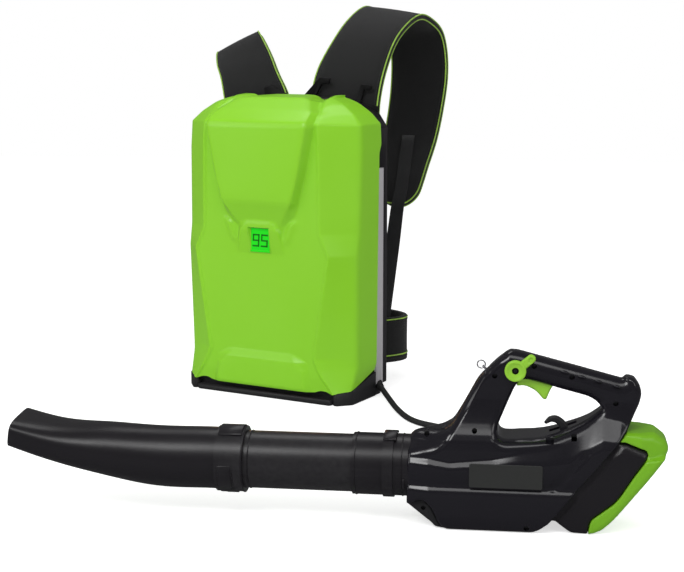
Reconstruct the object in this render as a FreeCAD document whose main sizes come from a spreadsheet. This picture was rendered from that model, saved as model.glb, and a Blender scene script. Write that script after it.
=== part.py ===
import FreeCAD, Part
import math
import os
import Sketcher
from FreeCAD import Placement, Rotation, Vector

# Backpack leaf blower: a battery pack on shoulder straps, and a hand blower that a cord joins to it.
# The blower lies with its duct along X, its nozzle towards -X, and the middle of its flat base at the origin.
# The pack stands behind it in its own frame: X across, Y from its front to its back, Z up.

doc = FreeCAD.newDocument("backpack_leaf_blower")
sheet = doc.addObject("Spreadsheet::Sheet", "sizes")

DRIVING = {
    # duct and tubes
    "axis_height": 73,
    "tube_radius": 38.5,
    "tube_wall": 2.5,
    "tube_front": -350,
    "tube_back": -140,
    "collar_radius": 41.2,
    "collar_front": -178,
    "collar_back": -90,
    "band_radius": 43.4,
    "nozzle_collar_radius": 44,
    "nozzle_collar_front": -361,
    "nozzle_collar_back": -323,
    "nozzle_twist": 4,
    # fan and motor
    "duct_radius": 46.5,
    "duct_back": 34,
    "fan_gap": 0.7,
    "fan_front": -8,
    "fan_length": 26,
    "hub_radius": 22,
    "blade_count": 9,
    "blade_pitch": 36,
    "blade_thick": 2,
    "stator_front": -60,
    "stator_length": 30,
    "vane_count": 7,
    "cup_radius": 24,
    "motor_front": -62,
    "motor_length": 46,
    "shaft_radius": 3,
    "bearing_radius": 8,
    "bearing_width": 6,
    "shaft_play": 0.04,
    # housing
    "seam": -104,
    "body_half": 50,
    "handle_half": 19.5,
    "shell": 3,
    "dock_angle": 51,
    "dock_x": 129,
    "dock_z": 74,
    "tongue_depth": 28,
    "tongue_half": 37,
    "tongue_wide": 60,
    "part_gap": 0.4,
    # controls
    "trigger_x": 42,
    "trigger_z": 199,
    "trigger_wide": 17,
    "pin_radius": 2.5,
    "pin_play": 0.05,
    "cruise_x": 34,
    "cruise_z": 209,
    "cruise_radius": 13.9,
    "cruise_thick": 5.6,
    "spindle_radius": 4,
    "release_x": 100,
    "release_z": 117,
    "release_wide": 10,
    "ring_radius": 5.2,
    "ring_wire": 0.9,
    "lug_x": -4.5,
    "lug_z": 206,
    # adapter
    "adapter_half": 42,
    "relief_x": 150,
    "relief_z": 60,
    "relief_length": 35,
    # cord
    "cord_radius": 5,
    # pack
    "pack_x": -423.8,
    "pack_y": 649.1,
    "pack_turn": 22,
    "pack_half": 174,
    "cover_depth": 110,
    "frame_depth": 134,
    "back_depth": 150,
    "pack_wall": 3,
    "tray_height": 14.5,
    "frame_top": 408,
    "display_half": 20,
    "display_low": 262,
    "display_high": 304,
    "cell_radius": 10.5,
    "cell_length": 70,
    "cell_pitch": 24,
    "cell_columns": 10,
    "cell_rows": 12,
    "cell_front": 30,
    "cell_low": 66,
    "strap_thick": 9,
    "webbing_thick": 2.4,
    "belt_low": 44,
    "belt_high": 127,
    "belt_thick": 10,
    "gland_x": 166,
    "gland_y": 128,
    "gland_z": 19,
    "gland_length": 22,
}

for line, (alias, number) in enumerate(DRIVING.items(), start=1):
    sheet.set(f"A{line}", alias.replace("_", " "))
    sheet.set(f"B{line}", str(number))
    sheet.setAlias(f"B{line}", alias)
doc.recompute()


class Size:
    # A number together with the sheet formula that gives it.
    def __init__(self, value, formula):
        self.value = float(value)
        self.formula = formula

    def joined(self, other, sign, value):
        formula = other.formula if isinstance(other, Size) else repr(float(other))
        return Size(value, f"({self.formula} {sign} {formula})")

    def __add__(self, other):
        return self.joined(other, "+", self.value + number(other))

    def __sub__(self, other):
        return self.joined(other, "-", self.value - number(other))

    def __mul__(self, other):
        return self.joined(other, "*", self.value * number(other))

    def __truediv__(self, other):
        return self.joined(other, "/", self.value / number(other))

    def __neg__(self):
        return Size(-self.value, f"(-{self.formula})")


def number(size):
    return size.value if isinstance(size, Size) else float(size)


def cell(alias):
    return Size(sheet.get(alias), f"sizes.{alias}")


def bind(thing, **properties):
    for name, size in properties.items():
        if isinstance(size, Size):
            thing.setExpression(name, size.formula)
        setattr(thing, name, number(size))


axis_z = cell("axis_height")
shell = cell("shell")
made = []


# Sketched bodies

def new_body(label, place=None):
    body = doc.addObject("PartDesign::Body", label)
    body.Label = label
    if place:
        body.Placement = place
    made.append(body)
    return body


def origin_part(body, role):
    return next(feature for feature in body.Origin.OriginFeatures if feature.Role == role)


def new_sketch(body, role, offset=0):
    sketch = body.newObject("Sketcher::SketchObject", f"{body.Label}_sketch")
    sketch.AttachmentSupport = (origin_part(body, role), [""])
    sketch.MapMode = "FlatFace"
    sketch.AttachmentOffset = Placement(Vector(0, 0, number(offset)), Rotation())
    if isinstance(offset, Size):
        sketch.setExpression("AttachmentOffset.Base.z", offset.formula)
    return sketch


def hold(sketch, kind, places, size):
    index = sketch.addConstraint(Sketcher.Constraint(kind, *places, number(size)))
    if isinstance(size, Size):
        sketch.setExpression(f"Constraints[{index}]", size.formula)


def draw_outline(sketch, corners):
    first = sketch.GeometryCount
    count = len(corners)
    flat = [Vector(number(x), number(y), 0) for x, y in corners]
    for k in range(count):
        sketch.addGeometry(Part.LineSegment(flat[k], flat[(k + 1) % count]), False)
    for k in range(count):
        sketch.addConstraint(Sketcher.Constraint("Coincident", first + k, 2, first + (k + 1) % count, 1))
    for k, (x, y) in enumerate(corners):
        hold(sketch, "DistanceX", (-1, 1, first + k, 1), x)
        hold(sketch, "DistanceY", (-1, 1, first + k, 1), y)


def draw_circle(sketch, x, y, radius):
    index = sketch.addGeometry(Part.Circle(Vector(number(x), number(y), 0), Vector(0, 0, 1), number(radius)), False)
    hold(sketch, "DistanceX", (-1, 1, index, 3), x)
    hold(sketch, "DistanceY", (-1, 1, index, 3), y)
    hold(sketch, "Radius", (index,), radius)


def pad(body, sketch, length, side="One side", reverse=False):
    feature = body.newObject("PartDesign::Pad", f"{body.Label}_pad")
    feature.Profile = sketch
    feature.SideType = side
    feature.Reversed = reverse
    bind(feature, Length=length)
    sketch.Visibility = False
    return feature


def pocket(body, sketch, length, side="Symmetric", reverse=False):
    feature = body.newObject("PartDesign::Pocket", f"{body.Label}_pocket")
    feature.Profile = sketch
    feature.SideType = side
    feature.Reversed = reverse
    bind(feature, Length=length)
    return feature


def pad_outline(label, role, corners, length, offset=0, side="One side", place=None):
    body = new_body(label, place)
    sketch = new_sketch(body, role, offset)
    draw_outline(sketch, corners)
    pad(body, sketch, length, side)
    return body


# A ring round the duct axis, from pairs of place along the axis and radius.
def turned(label, profile):
    body = new_body(label, Placement(Vector(0, 0, axis_z.value), Rotation()))
    body.setExpression("Placement.Base.z", axis_z.formula)
    sketch = new_sketch(body, "XZ_Plane")
    draw_outline(sketch, profile)
    feature = body.newObject("PartDesign::Revolution", f"{label}_turn")
    feature.Profile = sketch
    feature.ReferenceAxis = (sketch, ["H_Axis"])
    feature.Angle = 360
    return body


def repeat_round(body, feature, count):
    pattern = body.newObject("PartDesign::PolarPattern", f"{body.Label}_round")
    pattern.Originals = [feature]
    pattern.Axis = (origin_part(body, "X_Axis"), [""])
    pattern.Angle = 360
    pattern.Occurrences = int(number(count))
    pattern.setExpression("Occurrences", count.formula)
    body.Tip = pattern


# Primitives bound to the sheet

def cylinder_along(label, axis, place, radius, height):
    turns = {"x": Rotation(Vector(0, 1, 0), 90), "y": Rotation(Vector(1, 0, 0), -90), "z": Rotation()}
    solid = doc.addObject("Part::Cylinder", label)
    bind(solid, Radius=radius, Height=height)
    solid.Placement = Placement(Vector(*[number(size) for size in place]), turns[axis])
    for name, size in zip("xyz", place):
        if isinstance(size, Size):
            solid.setExpression(f"Placement.Base.{name}", size.formula)
    return solid


def bind_box(label, low, sizes):
    solid = doc.addObject("Part::Box", label)
    bind(solid, Length=sizes[0], Width=sizes[1], Height=sizes[2])
    solid.Placement = Placement(Vector(*[number(size) for size in low]), Rotation())
    for name, size in zip("xyz", low):
        if isinstance(size, Size):
            solid.setExpression(f"Placement.Base.{name}", size.formula)
    return solid


def joined_node(label, kind, solids, place=None):
    node = doc.addObject(kind, label)
    node.Label = label
    if kind == "Part::Cut":
        node.Base, node.Tool = solids
    else:
        node.Shapes = solids
    if place:
        node.Placement = place
    made.append(node)
    return node


# Shapes that no sketch or primitive gives

def keep_shape(label, shape, place=None):
    node = doc.addObject("Part::Feature", label)
    node.Label = label
    node.Shape = shape
    if place:
        node.Placement = place
    made.append(node)
    return node


def value(alias):
    return cell(alias).value


def loop(points):
    return Part.makePolygon([Vector(*point) for point in points] + [Vector(*points[0])])


def prism(points, run):
    return Part.Face(loop(points)).extrude(Vector(*run))


def block(low, high):
    return Part.makeBox(*[b - a for a, b in zip(low, high)], Vector(*low))


def rod(start, along, radius, length):
    return Part.makeCylinder(radius, length, Vector(*start), Vector(*along))


def ruled(sections):
    return Part.makeLoft([loop(section) for section in sections], True, True)


# A band of cloth through pairs of edge points, with its thickness square to its face.
# A padded one is thin at its edges and has a crown on its outer face.
def band(pairs, thick, padded=False):
    lefts = [Vector(*left) for left, _ in pairs]
    rights = [Vector(*right) for _, right in pairs]
    middles = [(a + b) * 0.5 for a, b in zip(lefts, rights)]
    sections = []
    for k, (left, right) in enumerate(zip(lefts, rights)):
        ahead = middles[min(k + 1, len(pairs) - 1)] - middles[max(k - 1, 0)]
        out = (right - left).cross(ahead).normalize() * (thick / 2)
        inset = (right - left).normalize() * 5
        if padded:
            sections.append([
                left - out * 0.4, left + inset - out, right - inset - out, right - out * 0.4, right + out * 0.4,
                right - inset + out, middles[k] + out * 1.3, left + inset + out, left + out * 0.4,
            ])
        else:
            sections.append([left - out, right - out, right + out, left + out])
    return Part.makeLoft([loop(section) for section in sections], True, True)


# Doubles a band's sections along a smooth curve.
def finer(pairs):
    full = [pairs[0]]
    for k in range(len(pairs) - 1):
        spans = [pairs[max(k - 1, 0)], pairs[k], pairs[k + 1], pairs[min(k + 2, len(pairs) - 1)]]
        halfway = []
        for side in (0, 1):
            before, near, far, after = [Vector(*pair[side]) for pair in spans]
            halfway.append(tuple((near + far) * 0.5625 - (before + after) * 0.0625))
        full += [tuple(halfway), pairs[k + 1]]
    return full


# A soft pad: its flat back, its sides drawn in and its crown, as outlines one over the other.
def cushion(low, high, back, rise, corner=26):
    sections = []
    for share, drawn in ((0, 4), (0.35, 0), (0.75, 5), (1, 24)):
        x0, x1, z0, z1 = low[0] + drawn, high[0] - drawn, low[1] + drawn, high[1] - drawn
        y = back + rise * share
        cut = corner
        sections.append([
            (x0 + cut, y, z0), (x1 - cut, y, z0), (x1, y, z0 + cut), (x1, y, z1 - cut),
            (x1 - cut, y, z1), (x0 + cut, y, z1), (x0, y, z1 - cut), (x0, y, z0 + cut),
        ])
    return ruled(sections)


# A cord's centre: straight runs joined by tangent arcs, each as large as its two runs allow.
def cord_wire(route):
    points = [Vector(*point) for point in route]
    edges, radii, start = [], [], points[0]
    for before, corner, after in zip(points, points[1:], points[2:]):
        into = (corner - before).normalize()
        out = (after - corner).normalize()
        turn = into.getAngle(out)
        reach = 0.45 * min((corner - before).Length, (after - corner).Length)
        radii.append(reach / math.tan(turn / 2))
        first, last = corner - into * reach, corner + out * reach
        inward = (out - into).normalize()
        middle = corner + inward * (radii[-1] * (1 / math.cos(turn / 2) - 1))
        edges.append(Part.LineSegment(start, first).toShape())
        edges.append(Part.Arc(first, middle, last).toShape())
        start = last
    edges.append(Part.LineSegment(start, points[-1]).toShape())
    return Part.Wire(edges), radii


def cord_tube(route, radius):
    wire, radii = cord_wire(route)
    away = Vector(*route[1]) - Vector(*route[0])
    ring = Part.Wire(Part.makeCircle(radius, Vector(*route[0]), away))
    tube = wire.makePipeShell([ring], True, False)
    print("cord radii", [round(r) for r in radii])
    print("cord length", round(wire.Length), "volume share", round(tube.Volume / (math.pi * radius**2 * wire.Length), 3))
    return tube


# Blower: the duct from its fan to its nozzle

def make_main_tube():
    inner = cell("tube_radius") - cell("tube_wall")
    turned("main_tube", [
        (cell("tube_front"), inner), (cell("tube_back"), inner),
        (cell("tube_back"), cell("tube_radius")), (cell("tube_front"), cell("tube_radius")),
    ])


def make_front_collar():
    # The collar grips the tube, carries a raised grip band, and ends inside the housing.
    front, back, radius = cell("collar_front"), cell("collar_back"), cell("collar_radius")
    grip = cell("tube_radius") + 0.15
    throat = cell("tube_radius") - cell("tube_wall")
    stop = cell("tube_back") + 0.4
    turned("front_collar", [
        (front, grip), (stop, grip), (stop, throat), (back, throat), (back, radius),
        (cell("seam") - 19, radius), (cell("seam") - 19, cell("band_radius")),
        (cell("seam") - 33, cell("band_radius")), (cell("seam") - 33, radius), (front, radius),
    ])


def nozzle_section(x, z, wide, high, tilt, round_power, wall=0.0):
    points = []
    steps = 28
    for k in range(steps):
        turn = 2 * math.pi * k / steps
        across, up = math.cos(turn), math.sin(turn)
        power = 2 / round_power
        y = (wide - wall) * math.copysign(abs(across) ** power, across)
        rise = (high - wall) * math.copysign(abs(up) ** power, up)
        lean = math.radians(tilt)
        points.append(Vector(x - rise * math.sin(lean), y, z + rise * math.cos(lean)))
    curve = Part.BSplineCurve()
    curve.interpolate(points, PeriodicFlag=True)
    return Part.Wire(curve.toShape())


def make_nozzle():
    # Round at the tube, then flattened and turned up towards a wide mouth.
    round_part = value("tube_radius") + 3
    stations = [
        (-356, 73, round_part, round_part, 0, 2.0),
        (-400, 73, round_part, round_part, 0, 2.0),
        (-455, 74, round_part + 0.5, 40.5, 4, 2.05),
        (-510, 80, 43, 36.5, 9, 2.2),
        (-560, 86.5, 43.5, 30, 12, 2.5),
        (-603, 96, 44, 24, 8, 3.0),
        (-641, 107.5, 44, 18.5, -8, 3.8),
    ]
    wall = value("tube_wall")
    outside = Part.makeLoft([nozzle_section(*station) for station in stations], True, False)
    bore_wires = [nozzle_section(*station, wall) for station in stations]
    bore = Part.makeLoft(bore_wires, True, False)
    # The bore runs on past the mouth.
    way_out = Part.Face(bore_wires[-1]).extrude(Vector(-12, 0, 3.9))
    axis = (0, 0, axis_z.value)
    grip = value("tube_radius") + value("pin_play")
    back, front = value("nozzle_collar_back"), value("nozzle_collar_front")
    collar = rod((front, 0, axis[2]), (1, 0, 0), value("nozzle_collar_radius"), back - front)
    mouth_of_collar = rod((value("tube_front") - 0.5, 0, axis[2]), (1, 0, 0), grip, 60)
    throat = rod((front - 1, 0, axis[2]), (1, 0, 0), value("tube_radius") - wall, 20)
    nozzle = outside.fuse(collar).cut(bore).cut(way_out).cut(throat).cut(mouth_of_collar)
    lock_bump = block((-350, -7, axis[2] - value("nozzle_collar_radius") - 2), (-334, 7, axis[2] - 42))
    nozzle = nozzle.fuse(lock_bump).removeSplitter()
    nozzle.rotate(Vector(*axis), Vector(1, 0, 0), value("nozzle_twist"))
    keep_shape("nozzle", nozzle)


def make_fan_duct():
    outer, wall = cell("duct_radius"), cell("tube_wall")
    small = cell("tube_radius") - wall
    turned("fan_duct", [
        (cell("collar_back") + 0.2, small), (cell("seam") + 42, outer - wall), (cell("duct_back"), outer - wall),
        (cell("duct_back"), outer), (cell("seam") + 42, outer), (cell("collar_back") + 0.2, cell("collar_radius")),
    ])


def make_impeller():
    hub, tip = value("hub_radius"), value("duct_radius") - value("tube_wall") - value("fan_gap")
    front, length, thick = value("fan_front"), value("fan_length"), value("blade_thick")
    along = (1, 0, 0)
    body = rod((front, 0, 0), along, hub, length)
    body = body.cut(rod((front - 1, 0, 0), along, hub - 3, length - 3))
    body = body.fuse(rod((front, 0, 0), along, 7, length))
    reach = block((front + length / 2 - 20, -thick / 2, hub - 1.5), (front + length / 2 + 20, thick / 2, tip + 3))
    reach.rotate(Vector(front + length / 2, 0, 0), Vector(0, 0, 1), value("blade_pitch"))
    slab = rod((front + 0.5, 0, 0), along, tip, length - 1)
    blade = reach.common(slab)
    count = int(value("blade_count"))
    blades = []
    for k in range(count):
        turned_blade = blade.copy()
        turned_blade.rotate(Vector(0, 0, 0), Vector(*along), 360 * k / count)
        blades.append(turned_blade)
    body = body.fuse(blades).cut(rod((front - 1, 0, 0), along, value("shaft_radius"), length + 2))
    body.translate(Vector(0, 0, axis_z.value))
    keep_shape("impeller", body.removeSplitter())


def make_stator():
    # A cup for the motor, held in the duct by straightening vanes.
    body = new_body("stator_vanes", Placement(Vector(0, 0, axis_z.value), Rotation()))
    body.setExpression("Placement.Base.z", axis_z.formula)
    front, length, cup = cell("stator_front"), cell("stator_length"), cell("cup_radius")
    ring = cell("duct_radius") - cell("tube_wall") - 0.05
    sketch = new_sketch(body, "YZ_Plane", front)
    draw_circle(sketch, 0, 0, cup)
    draw_circle(sketch, 0, 0, cup - 2)
    pad(body, sketch, length)
    sketch = new_sketch(body, "YZ_Plane", front + 2)
    draw_outline(sketch, [(-1, cup - 1), (1, cup - 1), (1, ring - 1), (-1, ring - 1)])
    vane = pad(body, sketch, length - 4)
    repeat_round(body, vane, cell("vane_count"))
    sketch = new_sketch(body, "YZ_Plane", front)
    draw_circle(sketch, 0, 0, ring)
    draw_circle(sketch, 0, 0, ring - 2)
    pad(body, sketch, length)


def make_motor():
    # The can stands open towards the fan; its core, rotor and shaft sit inside it.
    front, length, radius = cell("motor_front"), cell("motor_length"), cell("cup_radius") - 2.05
    bearing = cell("bearing_radius")
    end = front + length
    turned("motor_can", [
        (front - 14, cell("bearing_radius")), (front - 14, bearing + 2), (front, radius), (end, radius),
        (end, bearing), (end - 2.5, bearing), (end - 2.5, radius - 2), (front + 3, radius - 2), (front + 3, bearing),
    ])
    turned("motor_core", [
        (front + 9, 13), (end - 9, 13), (end - 9, radius - 2.05), (front + 9, radius - 2.05),
    ])
    shaft = cell("shaft_radius")
    turned("motor_rotor", [
        (front - 10, 0), (front - 10, shaft), (front + 10, shaft), (front + 10, 12.4),
        (end - 10, 12.4), (end - 10, shaft), (cell("fan_front") + cell("fan_length") + 4, shaft),
        (cell("fan_front") + cell("fan_length") + 4, 0),
    ])
    play = value("shaft_play")
    rings = []
    for start in (front.value - 4, end.value - value("bearing_width")):
        ring = rod((start, 0, axis_z.value), (1, 0, 0), bearing.value - 0.02, value("bearing_width"))
        rings.append(ring.cut(rod((start - 1, 0, axis_z.value), (1, 0, 0), shaft.value + play, 20)))
    keep_shape("motor_bearings", Part.makeCompound(rings))


def make_intake_grille():
    body = new_body("intake_grille", Placement(Vector(0, 0, axis_z.value), Rotation()))
    body.setExpression("Placement.Base.z", axis_z.formula)
    sketch = new_sketch(body, "YZ_Plane", cell("duct_back") + 0.2)
    radius = cell("duct_radius")
    draw_circle(sketch, 0, 0, radius)
    draw_circle(sketch, 0, 0, radius - 5)
    pad(body, sketch, 3)
    sketch = new_sketch(body, "YZ_Plane", cell("duct_back") + 0.2)
    draw_outline(sketch, [(-1.5, 0), (1.5, 0), (1.5, radius - 4), (-1.5, radius - 4)])
    spoke = pad(body, sketch, 3)
    repeat_round(body, spoke, cell("blade_count"))
    for ring in (16, 30):
        sketch = new_sketch(body, "YZ_Plane", cell("duct_back") + 0.2)
        draw_circle(sketch, 0, 0, ring + 1.2)
        draw_circle(sketch, 0, 0, ring - 1.2)
        pad(body, sketch, 3)


# Blower: housing

SIDE_OUTLINE = [
    (-104, 32), (-104, 113), (-97, 122), (-57, 127), (-46, 136), (-14, 196), (9, 219), (25, 233),
    (35, 233), (171, 199), (190, 194), (196, 184), (195, 172), (177.6, 134), (80.6, 14.2), (70, 5),
    (60, 0), (-52, 0), (-60, 5), (-72, 29), (-83, 39),
]
WINDOW = [(35, 190), (10, 130), (18, 120), (73, 124), (124, 143), (147, 161), (133, 174), (45, 196)]
FRONT_OUTLINE = [
    (36, 0), (46, 8), (50, 24), (50, 98), (45, 116), (32, 130), (23, 142), (19.5, 158), (19.5, 226), (13, 234),
]
PLAN_OUTLINE = [(-106, 42.5), (-76, 50), (106, 50), (200, 43)]

# Screw heads on the near side: place along the duct, height, and how far out the wall is.
HOUSING_SCREWS = [
    (7.5, 201, 19.5), (58, 215, 19.5), (106.5, 202, 19.5), (163, 168, 19.5), (-17, 131, 30), (-80, 118, 42),
    (52, 7, 43),
]


def offset_outline(outline, amount):
    wire = loop([(x, 0, z) for x, z in outline])
    return wire.makeOffset2D(amount, 2) if amount else wire


def housing_block(inset):
    half = value("body_half") + 10
    side = Part.Face(offset_outline(SIDE_OUTLINE, -inset)).extrude(Vector(0, half, 0))
    hole = Part.Face(offset_outline(WINDOW, inset)).extrude(Vector(0, half, 0))
    front = [(-110, y - inset, z) for y, z in FRONT_OUTLINE]
    low, high = front[0][2] - 1, front[-1][2] + 1
    front = [(-110, 0, low), (-110, front[0][1], low)] + front + [(-110, front[-1][1], high), (-110, 0, high)]
    plan = [(x, y - inset, -1) for x, y in PLAN_OUTLINE]
    plan = [(plan[0][0], 0, -1)] + plan + [(plan[-1][0], 0, -1)]
    body = side.cut(hole).common(prism(front, (320, 0, 0)))
    return body.common(prism(plan, (0, 0, 240)))


def dock_place(along, out):
    # A point of the docking face, by its way along the rim and out of it.
    angle = math.radians(value("dock_angle"))
    x = value("dock_x") - along * math.cos(angle) + out * math.sin(angle)
    z = value("dock_z") - along * math.sin(angle) - out * math.cos(angle)
    return x, z


def dock_prism(half_along, start, end, half_wide):
    corners = [(-half_along, start), (half_along, start), (half_along, end), (-half_along, end)]
    points = []
    for along, out in corners:
        x, z = dock_place(along, out)
        points.append((x, -half_wide, z))
    return prism(points, (0, 2 * half_wide, 0))


def make_housing():
    wall = shell.value
    half = housing_block(0).cut(housing_block(wall))
    axis = (-120, 0, axis_z.value)
    tools = [
        rod(axis, (1, 0, 0), value("collar_radius") + 0.15, 40),
        rod((value("seam") + wall, 0, axis_z.value), (1, 0, 0), value("duct_radius") + 0.3, 141),
        dock_prism(54, -30, 30, 38),
        block((value("trigger_x") - 8, -9.4, 176), (value("trigger_x") + 46, 9.4, 200)),
        block((value("trigger_x") - 8, 9, 190), (value("trigger_x") + 8, 12.2, 206)),
        block((79, -6, 122), (114, 6, 150)),
    ]
    for k in range(5):
        x = 8 + 10 * k
        tools.append(block((x, -26, -1), (x + 5, 26, wall + 1)))
    half = half.cut(tools)
    holes = [
        rod((value("trigger_x"), -1, value("trigger_z")), (0, 1, 0), value("pin_radius"), 17.4),
        rod((value("release_x"), -1, value("release_z")), (0, 1, 0), value("pin_radius"), 41.1),
    ]
    half = half.fuse(pin_bosses()).cut(holes).removeSplitter()
    near = half.mirror(Vector(0, 0, 0), Vector(0, 1, 0))
    seats = [rod((value("cruise_x"), -30, value("cruise_z")), (0, 1, 0), value("spindle_radius") + 0.05, 20)]
    for x, z, y in HOUSING_SCREWS:
        seats.append(rod((x, -y + 5, z), (0, -1, 0), 3.5, 20))
    keep_shape("housing_left", near.cut(seats))
    keep_shape("housing_right", half)


def pin_bosses():
    # Sockets that hold the two pins' ends, grown from the inside of the wall.
    bosses = []
    for x, z, inner, outer in (
        (value("trigger_x"), value("trigger_z"), 12.5, value("handle_half") - 2),
        (value("release_x"), value("release_z"), 9, 42),
    ):
        boss = rod((x, inner, z), (0, 1, 0), value("pin_radius") + 2.5, outer - inner)
        bosses.append(boss.cut(rod((x, inner - 1, z), (0, 1, 0), value("pin_radius"), outer - inner)))
    return bosses


def make_chin_guard():
    # A matte piece that fills the housing's lower front corner.
    outline = [(-104.5, 31), (-84, 38.3), (-72.6, 28.4), (-60.8, 4.6), (-54, 0.4), (-66, 1), (-74, 8), (-104.5, 30)]
    points = [(x, -40, z) for x, z in outline]
    guard = prism(points, (0, 80, 0))
    plan = [(-106, -34, -1), (-106, 34, -1), (-76, 40, -1), (-50, 40, -1), (-50, -40, -1), (-76, -40, -1)]
    duct = rod((-120, 0, axis_z.value), (1, 0, 0), value("duct_radius") + 0.4, 100)
    keep_shape("chin_guard", guard.common(prism(plan, (0, 0, 60))).cut(duct))


def make_electronics():
    board = bind_box("board_plate", (-50, -28, 8), (46, 56, 1.6))
    parts = [board]
    for k, (x, y, high) in enumerate(((-46, -22, 9), (-46, 4, 9), (-22, -20, 6), (-22, 6, 12))):
        parts.append(bind_box(f"board_part_{k}", (x, y, 9.6), (14, 16, high)))
    joined_node("control_board", "Part::MultiFuse", parts)
    keep_shape("terminal_block", dock_prism(14, -44, -33, 26).translate(terminal_shift()))
    switch = bind_box("switch_box", (90, -8, 190), (26, 16, 13))
    button = bind_box("switch_button", (85.6, -3, 192), (5, 6, 5))
    joined_node("trigger_switch", "Part::MultiFuse", [switch, button])


def make_dock_bay():
    # The walls and floor round the adapter's tongue, with the terminals' slots.
    deep = value("tongue_depth")
    bay = dock_prism(value("tongue_half") + 2.8, -deep - 4.4, -1, value("tongue_wide") / 2 + 2.8)
    bay = bay.cut(dock_prism(value("tongue_half") + 0.6, -deep - 2, 1, value("tongue_wide") / 2 + 0.6))
    for y in (-21, -8, 5, 18):
        slot = dock_prism(16, -deep - 6, -deep, 2.5)
        slot.translate(Vector(0, y, 0))
        bay = bay.cut(slot)
    keep_shape("dock_bay", bay)


def terminal_shift():
    angle = math.radians(value("dock_angle"))
    return Vector(-10 * math.cos(angle), 0, -10 * math.sin(angle))


# Blower: controls

def make_trigger():
    x, z = cell("trigger_x"), cell("trigger_z")
    body = new_body("trigger")
    sketch = new_sketch(body, "XZ_Plane")
    draw_outline(sketch, [
        (x - 6, z - 13), (x - 6, z + 5), (x + 14, z + 5), (x + 40, z), (x + 41, z - 12), (x + 38, z - 16),
        (x + 32, z - 31), (x + 28, z - 30), (x + 19, z - 19), (x + 5, z - 12.5),
    ])
    pad(body, sketch, cell("trigger_wide"), "Symmetric")
    sketch = new_sketch(body, "XZ_Plane")
    draw_circle(sketch, x, z, cell("pin_radius") + cell("pin_play"))
    pocket(body, sketch, cell("trigger_wide") + 4)
    reach = cell("handle_half") - shell - 0.2
    pin = cylinder_along("trigger_pin", "y", (x, -reach, z), cell("pin_radius"), reach * 2)
    pin.Label = "trigger_pin"
    made.append(pin)
    ring = rod((x.value, 9.2, z.value), (0, 1, 0), 5, 2.6)
    keep_shape("trigger_spring", ring.cut(rod((x.value, 9, z.value), (0, 1, 0), value("pin_radius") + 0.3, 4)))


def make_cruise_lever():
    x, z = cell("cruise_x"), cell("cruise_z")
    plane = cell("handle_half") + 0.3
    body = new_body("cruise_lever")
    sketch = new_sketch(body, "XZ_Plane", plane)
    draw_circle(sketch, x, z, cell("cruise_radius"))
    pad(body, sketch, cell("cruise_thick"))
    sketch = new_sketch(body, "XZ_Plane", plane)
    draw_outline(sketch, [(x + 2, z + 9), (x + 11, z + 1), (x + 26, z + 14), (x + 25, z + 20), (x + 19, z + 23)])
    pad(body, sketch, cell("cruise_thick") - 1)
    sketch = new_sketch(body, "XZ_Plane", plane)
    draw_circle(sketch, x, z, cell("spindle_radius"))
    pad(body, sketch, 8, "One side", True)


def make_release_lever():
    x, z = cell("release_x"), cell("release_z")
    body = new_body("release_lever")
    sketch = new_sketch(body, "XZ_Plane")
    draw_outline(sketch, [
        (x - 6, z - 5), (x + 5, z - 6), (x + 7, z + 4), (x + 5, z + 14), (x - 2, z + 24), (x - 12, z + 30),
        (x - 22, z + 28), (x - 28, z + 20), (x - 25, z + 18), (x - 18, z + 22), (x - 10, z + 19), (x - 6, z + 9),
    ])
    pad(body, sketch, cell("release_wide"), "Symmetric")
    sketch = new_sketch(body, "XZ_Plane")
    draw_circle(sketch, x, z, cell("pin_radius") + cell("pin_play"))
    pocket(body, sketch, cell("release_wide") + 4)
    pin = cylinder_along("release_pin", "y", (x, -40, z), cell("pin_radius"), 80)
    pin.Label = "release_pin"
    made.append(pin)
    ring = rod((x.value, 5.6, z.value), (0, 1, 0), 5, 2.6)
    keep_shape("release_spring", ring.cut(rod((x.value, 5, z.value), (0, 1, 0), value("pin_radius") + 0.3, 4)))


def make_hang_ring():
    # The lug stands square on the sloping front of the handle, and the ring swings in its hole.
    slope = Vector(1, 0, 1).normalize()
    out = Vector(-1, 0, 1).normalize()
    foot = Vector(value("lug_x"), 0, value("lug_z"))
    eye = foot + out * 3.6
    wire, radius = value("ring_wire"), value("ring_radius")
    lug = block((-3.4, -3.6, -1), (2.8, 3.6, 1))
    lug.Placement = Placement(foot + out * 2.6, Rotation(Vector(0, 0, 1), slope))
    lug = lug.cut(Part.makeCylinder(wire + 0.5, 6, eye - slope * 3, slope))
    keep_shape("ring_lug", lug)
    ring = Part.makeTorus(radius, wire, Vector(0, 0, 0), Vector(0, 1, 0))
    ring.translate(eye + out * radius)
    keep_shape("hang_ring", ring)


def make_housing_screws():
    heads = [rod((x, -y + 5, z), (0, -1, 0), 3.4, 4.2) for x, z, y in HOUSING_SCREWS]
    keep_shape("housing_screws", Part.makeCompound(heads))


# Adapter

COVER_OUTLINE = [
    (170, 134), (213, 134), (229, 122), (232, 110), (210, 78), (163, 18), (148, 4), (136, 0), (131, 0), (134, 18),
    (167, 44), (190, 82), (201, 97), (205, 107), (202, 113), (176, 123), (160, 123),
]
CASE_OUTLINE = [
    (160, 122.6), (175.9, 122.6), (201.6, 112.6), (204.4, 107.2), (200.4, 97.4), (189.5, 82.4), (166.6, 44.6), (133.6, 18.4),
    (130.6, 0), (109, 0), (98, 8), (89, 15), (76, 14.5),
]


def flat_outline(outline, half):
    return prism([(x, -half, z) for x, z in outline], (0, 2 * half, 0))


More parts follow.
